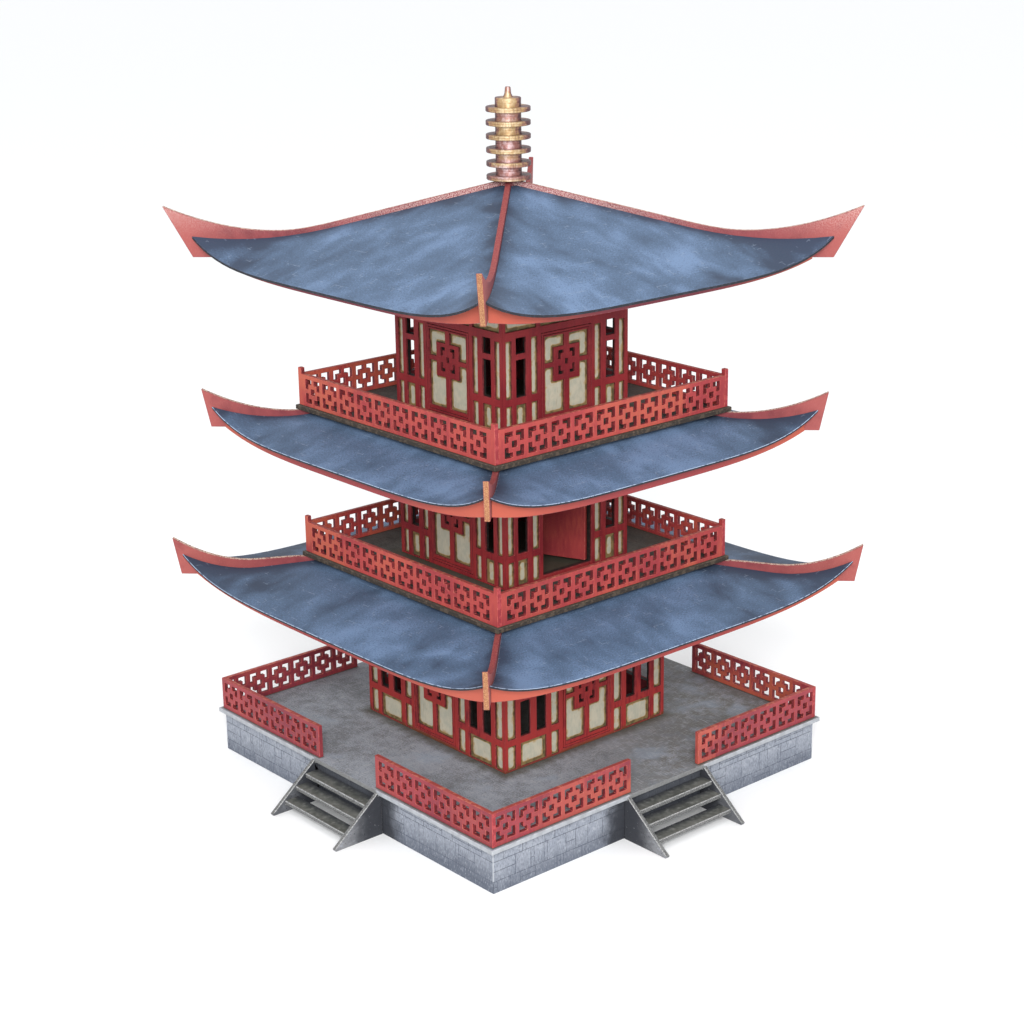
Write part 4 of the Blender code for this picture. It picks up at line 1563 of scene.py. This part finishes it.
# %% Mix the stones
STONE = (0.212, 0.232, 0.276)
STONE_DARK = (0.112, 0.122, 0.148)
STONE_PALE = (0.345, 0.370, 0.420)
PLINTH_GREY = (0.250, 0.270, 0.312)
PLINTH_PALE = (0.390, 0.415, 0.460)
NIGHT_WASH = (0.070, 0.082, 0.112)
# Near black: painted shade, and the dark blotches and pores.
SOOT_AND_SHADE = (0.018, 0.020, 0.027)
CORNER_LINE = (0.440, 0.460, 0.500)
SPECK = (0.600, 0.620, 0.640)


def stone_tones(paint, dark, base, pale):
    """Clouds of two tones, the lighter drag and its fine grit."""
    clouds = paint.noise(14.0, 4.0)
    drag = paint.noise(1.4, 4.0, (1.6, 1.6, 1.0))
    grit = paint.noise(0.4, 2.0)
    colour = paint.mix((clouds * 0.6 + drag * 0.4).rises(0.34, 0.60), dark, base)
    colour = paint.mix(drag.rises(0.54, 0.74) * 0.45, colour, pale)
    colour = paint.mix(grit.rises(0.62, 0.76) * 0.35, colour, pale)
    return colour, drag, grit


def stone_coat(name, dark, base, pale):
    paint = Paint(name)
    colour, drag, grit = stone_tones(paint, dark, base, pale)
    return paint.finish(colour, 0.8, drag + grit, 0.05)


print("stone tones:", STONE_DARK, STONE, STONE_PALE)

# %% Wash, weave and soot on the plinth
def plinth_coat(name, dark=STONE, base=PLINTH_GREY, pale=PLINTH_PALE):
    paint = Paint(name)
    colour, drag, grit = stone_tones(paint, dark, base, pale)
    x, y, z = paint.axes()
    sideways = paint.sideways()
    ragged = paint.noise(5.0, 4.0) * 10.0 - 5.0
    at_front_corner = (x - y).rises(120.0, 185.0) * (abs(y) - abs(x)).rises(-0.1, 0.1)
    near_ground = (z + ragged * 0.8 - at_front_corner * 5.0).rises(14.0, -3.0) * 0.9
    colour = paint.mix(near_ground, colour, NIGHT_WASH)
    weave = paint.noise(0.45, 2.0, (1.0, 1.0, 3.0))
    colour = paint.mix(weave.rises(0.56, 0.68) * 0.40, colour, STONE_PALE)
    colour = paint.mix(weave.rises(0.46, 0.36) * 0.45, colour, NIGHT_WASH)
    # Dark blotches of paint beside the steps, painted shade behind the steps and under the deck.
    beside_steps = (sideways + ragged).rises(40.0, 28.0) * (x - y).rises(85.0, 115.0)
    behind_steps = sideways.rises(24.5, 22.0) * 0.9
    under_deck = (z + ragged * 0.3).rises(PLINTH_TOP - 2.5, PLINTH_TOP + 0.5) * 0.5
    shade = beside_steps.larger(behind_steps).larger(under_deck)
    colour = paint.mix(shade * 0.95, colour, SOOT_AND_SHADE)
    above_joint = z.rises(COURSE_LINES[0] + 0.1, COURSE_LINES[0] + 0.4)
    corner = sideways.rises(PLINTH_HALF - 0.55, PLINTH_HALF - 0.25) * above_joint
    colour = paint.mix(corner * drag.rises(0.30, 0.45) * 0.8, colour, CORNER_LINE)
    specks = grit.rises(0.74, 0.78) * drag.rises(0.50, 0.56)
    colour = paint.mix(specks, colour, SPECK)
    return paint.finish(colour, 0.8, drag + grit, 0.05)


print("the plinth's wash is", NIGHT_WASH)

# %% [markdown]
# ## Paint of the deck and the floors
#
# The deck is a worn, scratched grey, browner towards the right and cooler in patches. A dark wash
# gathered where a brush can't reach: in a ragged band round the building, and in a thin line along
# the railings' feet. The floors upstairs have the same finish in darker, browner tones.

# %% Mix the deck and the floors
DECK_GREY = (0.304, 0.326, 0.366)
DECK_COOL = (0.290, 0.350, 0.430)
DECK_DARK = (0.158, 0.166, 0.180)
DECK_BROWN = (0.120, 0.113, 0.098)
DECK_PALE = (0.430, 0.440, 0.460)
DIRT = (0.062, 0.050, 0.026)


def scratched(paint, colour, pale):
    """Fine pale scratches, along both directions of the plan."""
    for direction in ((9.0, 1.0, 1.0), (1.0, 9.0, 1.0)):
        scratches = paint.noise(0.45, 2.0, direction)
        colour = paint.mix(scratches.rises(0.58, 0.68) * 0.45, colour, pale)
    return colour


def gathered_dirt(paint, patches, building, railing, opening):
    """Where dirt lies. The last three are half widths, the railing's its middle line's."""
    reach = paint.outward()
    by_wall = (reach - building + patches * 6.0 - 3.0).rises(7.0, 0.0)
    by_rail = abs(reach - railing).rises(SHEET / 2 + 0.9, SHEET / 2 + 0.2)
    by_rail = by_rail * paint.sideways().rises(opening - 1.0, opening + 0.5)
    return by_wall.larger(by_rail) * 0.75


def deck_coat(name, tones, building, railing, opening):
    """tones are dark, base, brown, pale and cool."""
    dark, base, brown, pale, cool = tones
    paint = Paint(name)
    x, y, _ = paint.axes()
    clouds = paint.noise(24.0, 3.0)
    patches = paint.noise(5.0, 4.0)
    grain = paint.noise(0.7, 3.0)
    to_the_right = (x + y + clouds * 60.0 - 30.0).rises(20.0, 120.0)
    browned = (patches * 0.5 + grain * 0.5).rises(0.40, 0.56) * to_the_right
    colour = paint.mix((clouds * 0.35 + patches * 0.25 + grain * 0.4).rises(0.40, 0.57), dark, base)
    colour = paint.mix(browned * 0.85, colour, brown)
    colour = paint.mix(paint.noise(22.0, 2.0).rises(0.56, 0.70) * 0.5, colour, cool)
    colour = paint.mix(grain.rises(0.45, 0.32) * 0.5, colour, dark)
    colour = scratched(paint, colour, pale)
    dirt = gathered_dirt(paint, patches, building, railing, opening)
    colour = paint.mix(dirt, colour, DIRT)
    return paint.finish(colour, 0.82, patches + grain, 0.04)


print("dirt gathers at", WALL_HALF[1], "mm and", RAIL_HALF[1], "mm from the centre line")

# %% [markdown]
# ## Steps, deck and floors
#
# These keep the shape of their solids. Each is copied, its flat faces are merged, every face gets
# its paint by the direction it faces, and then the sharp edges are broken. On a flight only edges
# longer than the sheet is thick are broken, and wider than a board's, so they show as worn lines.

# %% Measure the steps
STEP_TOPS = (15.1, 5.6)
STEP_FRONTS = (105.4, 117.0)
STEP_SLOPE = (STEP_FRONTS[1] - STEP_FRONTS[0]) / (STEP_TOPS[0] - STEP_TOPS[1])
STEP_FRONT = STEP_FRONTS[0] + STEP_TOPS[0] * STEP_SLOPE
TREAD_WIDTH = 40.0
WORN_WIDTH = 0.32
WORN_LENGTH = SHEET + 0.1
print("the flight goes out", round(STEP_SLOPE, 2), "mm for every millimetre down")

# %% Copy a solid and paint it by its faces
SAME_POINT = 1e-6
FLAT_ANGLE = 0.5
LEVEL_BOARD_EDGE = 0.2


def solid_copy(node):
    bm = bmesh.new()
    bm.from_mesh(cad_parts[node].data)
    bmesh.ops.remove_doubles(bm, verts=bm.verts, dist=SAME_POINT)
    bmesh.ops.dissolve_limit(
        bm, angle_limit=math.radians(FLAT_ANGLE), verts=bm.verts, edges=bm.edges
    )
    for face in bm.faces:
        face.material_index = FACE
    return bm


def add_sheet(node, paints):
    """A level board: its top is the face paint, its edges the third."""
    bm = solid_copy(node)
    for face in bm.faces:
        if abs(face.normal.z) < 0.5:
            face.material_index = THIRD
    soften(bm, LEVEL_BOARD_EDGE)
    add_piece(node + "_painted", mesh_of(bm, node), paints, [node])


def add_steps(side, paints):
    """Cheeks are the face paint and treads the third.

    The cheeks' slopes and the treads' fronts and backs, which are wide, are the fourth.
    """
    bm = solid_copy(f"stair_{side}")
    for face in bm.faces:
        wide = max(edge.calc_length() for edge in face.edges) > TREAD_WIDTH * MM
        if face.normal.z > 0.95:
            face.material_index = THIRD
        elif face.normal.z > 0.2 or wide and abs(face.normal.z) < 0.2:
            face.material_index = HOLE
    soften(bm, WORN_WIDTH, shortest=WORN_LENGTH)
    add_piece(f"stair_{side}_painted", mesh_of(bm, "steps"), paints, [f"stair_{side}"])


print("a flight has", len(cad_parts["stair_front"].data.polygons), "triangles in the solid")

# %% [markdown]
# ## Paint of the steps and the deck's edge
#
# The flights are greyer and darker than the plinth. Their cheeks have dark pores and a few specks,
# are darker towards the plinth and carry painted shade on their inner sides. The treads are olive,
# with painted shade almost black at the back of each step. The cheeks' slopes are near black with
# worn, pale edges. The deck's thick edge is scuffed, and grimy where the steps come up to it.

# %% Mix the paints of the steps
CHEEK_DARK = (0.115, 0.120, 0.130)
CHEEK_GREY = (0.195, 0.200, 0.212)
TREAD_TONES = ((0.058, 0.060, 0.052), (0.122, 0.124, 0.112), (0.230, 0.232, 0.220))
DECK_GRIME = (0.085, 0.080, 0.070)
CHEEK_OUTSIDE = 23.6
CHEEK_INSIDE = 22.4
OVER_STEPS = (23.5, 22.0)
TREAD_FADE = (2.2, 7.0)


def cheek_coat(name):
    """Grey with dark pores, darker towards the plinth, and with painted shade on the inner sides.
    """
    paint = Paint(name)
    colour, drag, grit = stone_tones(paint, CHEEK_DARK, CHEEK_GREY, STONE_PALE)
    ragged = paint.noise(4.0, 4.0) * 8.0 - 4.0
    # Darker towards the plinth, and painted shade on the cheeks' inner sides.
    near_plinth = (paint.outward() + ragged * 0.7).rises(119.0, 105.0)
    within = paint.sideways().rises(CHEEK_OUTSIDE, CHEEK_INSIDE) * 0.6
    colour = paint.mix(near_plinth.larger(within) * 0.95, colour, SOOT_AND_SHADE)
    pores = paint.noise(0.7, 2.0)
    colour = paint.mix(pores.rises(0.35, 0.30), colour, SOOT_AND_SHADE)
    specks = grit.rises(0.73, 0.77) * drag.rises(0.46, 0.52)
    colour = paint.mix(specks, colour, SPECK)
    return paint.finish(colour, 0.8, drag + grit, 0.05)


def tread_coat(name):
    """Olive, with painted shade almost black towards the back of each step."""
    paint = Paint(name)
    colour, drag, grit = stone_tones(paint, *TREAD_TONES)
    reach = paint.outward() + paint.axes()[2] * STEP_SLOPE
    starts, ends = (STEP_FRONT - behind for behind in TREAD_FADE)
    # Painted shade towards the back of each tread.
    deep = (reach + drag * 4.0 - 2.0).rises(starts, ends)
    colour = paint.mix(deep * 0.9, colour, SOOT_AND_SHADE)
    return paint.finish(colour, 0.8, drag + grit, 0.05)


def deck_edge_coat(name, base, pale):
    """The sheet's thick edge, scuffed and grimy between the cheeks of each flight."""
    paint = Paint(name)
    grains = paint.noise(0.8, 3.0)
    colour = paint.mix(paint.noise(4.0, 3.0).rises(0.36, 0.60), base, pale)
    over_steps = paint.sideways().rises(*OVER_STEPS) * (grains * 0.5 + 0.42)
    colour = paint.mix(over_steps, colour, DECK_GRIME)
    return paint.finish(colour, 0.8, grains, 0.05)


print("a tread darkens from", TREAD_FADE[0], "to", TREAD_FADE[1], "mm behind its front")

# %% Build the plinth, the deck and the steps
INNER_DARK = (0.040, 0.040, 0.045)
INNER_GREY = (0.090, 0.095, 0.105)
LIP_GREY = (0.300, 0.312, 0.335)
LIP_PALE = (0.430, 0.448, 0.475)
DECK_SIDE_GREY = (0.280, 0.292, 0.312)
DECK_SIDE_PALE = (0.345, 0.360, 0.385)
SLOPE_DARK = (0.075, 0.076, 0.076)
SLOPE_GREY = (0.180, 0.182, 0.180)
WORN_GREY = (0.180, 0.181, 0.180)
WORN_PALE = (0.350, 0.352, 0.350)


def build_plinth():
    groove = plinth_coat("stone_groove", NIGHT_WASH, STONE_DARK, PLINTH_PALE)
    inner = stone_coat("stone_inner", INNER_DARK, INNER_GREY, STONE_DARK)
    plinth = mesh_of(four_round(plinth_side()), "plinth")
    paints = (plinth_coat("plinth"), groove, inner)
    add_piece("plinth_stones", plinth, paints, ["plinth_walls"])


def build_deck():
    tones = (DECK_DARK, DECK_GREY, DECK_BROWN, DECK_PALE, DECK_COOL)
    rail_line = RAIL_HALF[1] - SHEET / 2
    top = deck_coat("deck", tones, WALL_HALF[1], rail_line, GROUND_RAIL["start"])
    lip = deck_edge_coat("stone_lip", LIP_GREY, LIP_PALE)
    side = deck_edge_coat("deck_side", DECK_SIDE_GREY, DECK_SIDE_PALE)
    add_sheet("deck", (top, lip, side))


def build_steps():
    slope = two_tone("stair_slope", SLOPE_DARK, SLOPE_GREY, 0.5, 0.6)
    worn = two_tone("stair_worn", WORN_GREY, WORN_PALE, 0.5, 0.6)
    paints = (cheek_coat("stair_cheek"), worn, tread_coat("tread"), slope)
    for side in SIDES:
        add_steps(side, paints)


roofs_made = len(made_pieces)
build_plinth()
build_deck()
build_steps()
print("stonework:", faces_since(roofs_made), "faces")

# %% [markdown]
# ## Upper floors and the open leaf
#
# The two upper floors are dark umber boards with a dull ochre line along their edges. On the
# second storey's right-hand side a plain red leaf stands open, as the photograph shows it.

# %% Build the floors and the open leaf
FLOOR_TONES = (
    (0.050, 0.046, 0.040), (0.095, 0.090, 0.082), (0.070, 0.052, 0.036),
    (0.150, 0.145, 0.135), (0.085, 0.087, 0.088),
)
ARRIS_DARK = (0.036, 0.026, 0.016)
ARRIS_OCHRE = (0.110, 0.086, 0.058)
FLOOR_SIDE_DARK = (0.026, 0.018, 0.012)
FLOOR_SIDE_BROWN = (0.068, 0.048, 0.032)
LEAF_EDGE = 0.15


def build_floors():
    boards = deck_coat("floor", FLOOR_TONES, WALL_HALF[2], RAIL_HALF[2] - SHEET / 2, 0.0)
    arris = two_tone("floor_arris", ARRIS_DARK, ARRIS_OCHRE, share=0.4)
    side = two_tone("floor_side", FLOOR_SIDE_DARK, FLOOR_SIDE_BROWN, 1.8, 0.45)
    for node in ("floor_2", "floor_3"):
        add_sheet(node, (boards, arris, side))


def build_open_leaf():
    bm = solid_copy("door_2_right")
    soften(bm, LEAF_EDGE)
    leaf = mesh_of(bm, "leaf")
    add_piece("door_2_right_painted", leaf, (RED, RED_EDGE), ["door_2_right"])


stones_made = len(made_pieces)
build_floors()
build_open_leaf()
print("floors and leaf:", faces_since(stones_made), "faces")

# %% [markdown]
# ## The finial
#
# Discs and drums, cut from sheet and stacked: each is two layers thick, so a fine line runs round
# its middle. The profile is drawn once, in radius and height, and spun round the centre line.

# %% Draw the finial's profile
DISC_RADIUS = 9.7
DISC_PITCH = 5.8
DISC_COUNT = 6
CUT_EDGE = 0.2
DRUM_RADIUS = 5.65
TIP_BASE = 305.7
TIP_TOP = high_corner("finial").z
TIP_POINTS = (
    (0.0, TIP_TOP), (0.95, TIP_TOP - 0.1), (1.2, TIP_TOP - 0.5), (1.45, TIP_BASE + 1.6),
    (2.15, TIP_BASE), (DRUM_RADIUS - CUT_EDGE, TIP_BASE),
)
SEAM = 0.12


def layered(radius, low, high):
    """Two laminations with a fine groove between them, from the top down."""
    middle = (low + high) / 2
    groove = [(radius, middle + SEAM), (radius - SEAM, middle), (radius, middle - SEAM)]
    return [(radius, high), *groove, (radius, low)]


def disc_profile(low):
    high, inner = low + SHEET, DISC_RADIUS - CUT_EDGE
    rim = layered(DISC_RADIUS, low + CUT_EDGE, high - CUT_EDGE)
    return [(inner, high), *rim, (inner, low)]


def finial_profile():
    base = low_corner("finial").z
    points = list(TIP_POINTS)
    for i in reversed(range(DISC_COUNT)):
        low = base + DISC_PITCH * i
        above = TIP_BASE - CUT_EDGE if i == DISC_COUNT - 1 else low + DISC_PITCH
        points += layered(DRUM_RADIUS, low + SHEET, above) + disc_profile(low)
    return points + [(0.0, base)]


print("the profile has", len(finial_profile()), "points")

# %% [markdown]
# ## Copper and gold
#
# Both are metallic paints over a purple brown. Towards the front and back corners they are painted
# brighter, up to rose and pale gold, and the two flanks stay dark: a painted reflection of the
# lamp, mixed with uneven rubbing. Some layers took gold and some copper, and the lowest ones are
# pinkest, so the share of gold drifts with the height. The discs' cut rims are ribbed, which breaks
# the gold into fine upright dashes.

# %% Mix the metals
PURPLE_BROWN = (0.105, 0.046, 0.050)
COPPER = (0.330, 0.150, 0.130)
ROSE_HIGHLIGHT = (0.600, 0.445, 0.450)
GOLD = (0.420, 0.275, 0.135)
GOLD_HIGHLIGHT = (0.635, 0.505, 0.325)
METAL_SHARE = 0.55


def finial_coat(name):
    paint = Paint(name)
    x, y, z = paint.axes()
    radius = (x * x + y * y).root()
    facing = abs(x - y) / radius
    rim = radius.rises(9.0, 9.6)
    rubbed = paint.noise(1.8, 4.0)
    ribs = paint.noise(0.5, 2.0, (1.0, 1.0, 6.0))
    # Painted reflection: brightest towards the front and back corners, dark on the flanks, mixed
    # with uneven rubbing.
    rub_and_reflection = facing * 0.55 + rubbed * 0.8 + ribs * 0.3 - 0.55
    drum_middle = low_corner("finial").z + (SHEET + DISC_PITCH) / 2
    every_second = ((z - drum_middle) * (math.pi / DISC_PITCH)).cosine()
    golden = z.rises(272.0, 300.0) * 0.6 + rim * 0.4 - every_second * 0.3
    colour = paint.mix(rub_and_reflection.rises(0.25, 0.60), PURPLE_BROWN, COPPER)
    colour = paint.mix(golden.rises(0.20, 0.60) * rub_and_reflection.rises(0.40, 0.65), colour, GOLD)
    # Painted highlight: rose and pale gold.
    highlight_colour = paint.mix(golden.rises(0.25, 0.65), ROSE_HIGHLIGHT, GOLD_HIGHLIGHT)
    colour = paint.mix(rub_and_reflection.rises(0.62, 0.90) * 0.85, colour, highlight_colour)
    colour = paint.mix(ribs.rises(0.46, 0.34) * rim * 0.4, colour, PURPLE_BROWN)
    return paint.finish(colour, 0.36 + rubbed * 0.2, rubbed + ribs, 0.04, METAL_SHARE)


print("gold:", GOLD, "copper:", COPPER)

# %% Spin the finial
SPIN_STEPS = 64
FINIAL_SMOOTH = 35.0


def spin_finial():
    bm = bmesh.new()
    verts = [bm.verts.new((radius * MM, 0.0, z * MM)) for radius, z in finial_profile()]
    edges = [bm.edges.new(pair) for pair in zip(verts, verts[1:])]
    bmesh.ops.spin(
        bm, geom=verts + edges, cent=(0, 0, 0), axis=(0, 0, 1), angle=2 * math.pi, steps=SPIN_STEPS,
        use_merge=True, use_normal_flip=False, use_duplicate=False,
    )
    bmesh.ops.remove_doubles(bm, verts=bm.verts, dist=SAME_POINT)
    bmesh.ops.recalc_face_normals(bm, faces=bm.faces)
    return mesh_of(bm, "finial", FINIAL_SMOOTH)


add_piece("finial_turned", spin_finial(), (finial_coat("copper"),), ["finial"])
print("finial:", len(made_pieces[-1].data.polygons), "faces")

# %% [markdown]
# ## The sizes
#
# The dressed pagoda must fill the same box as the solid one.
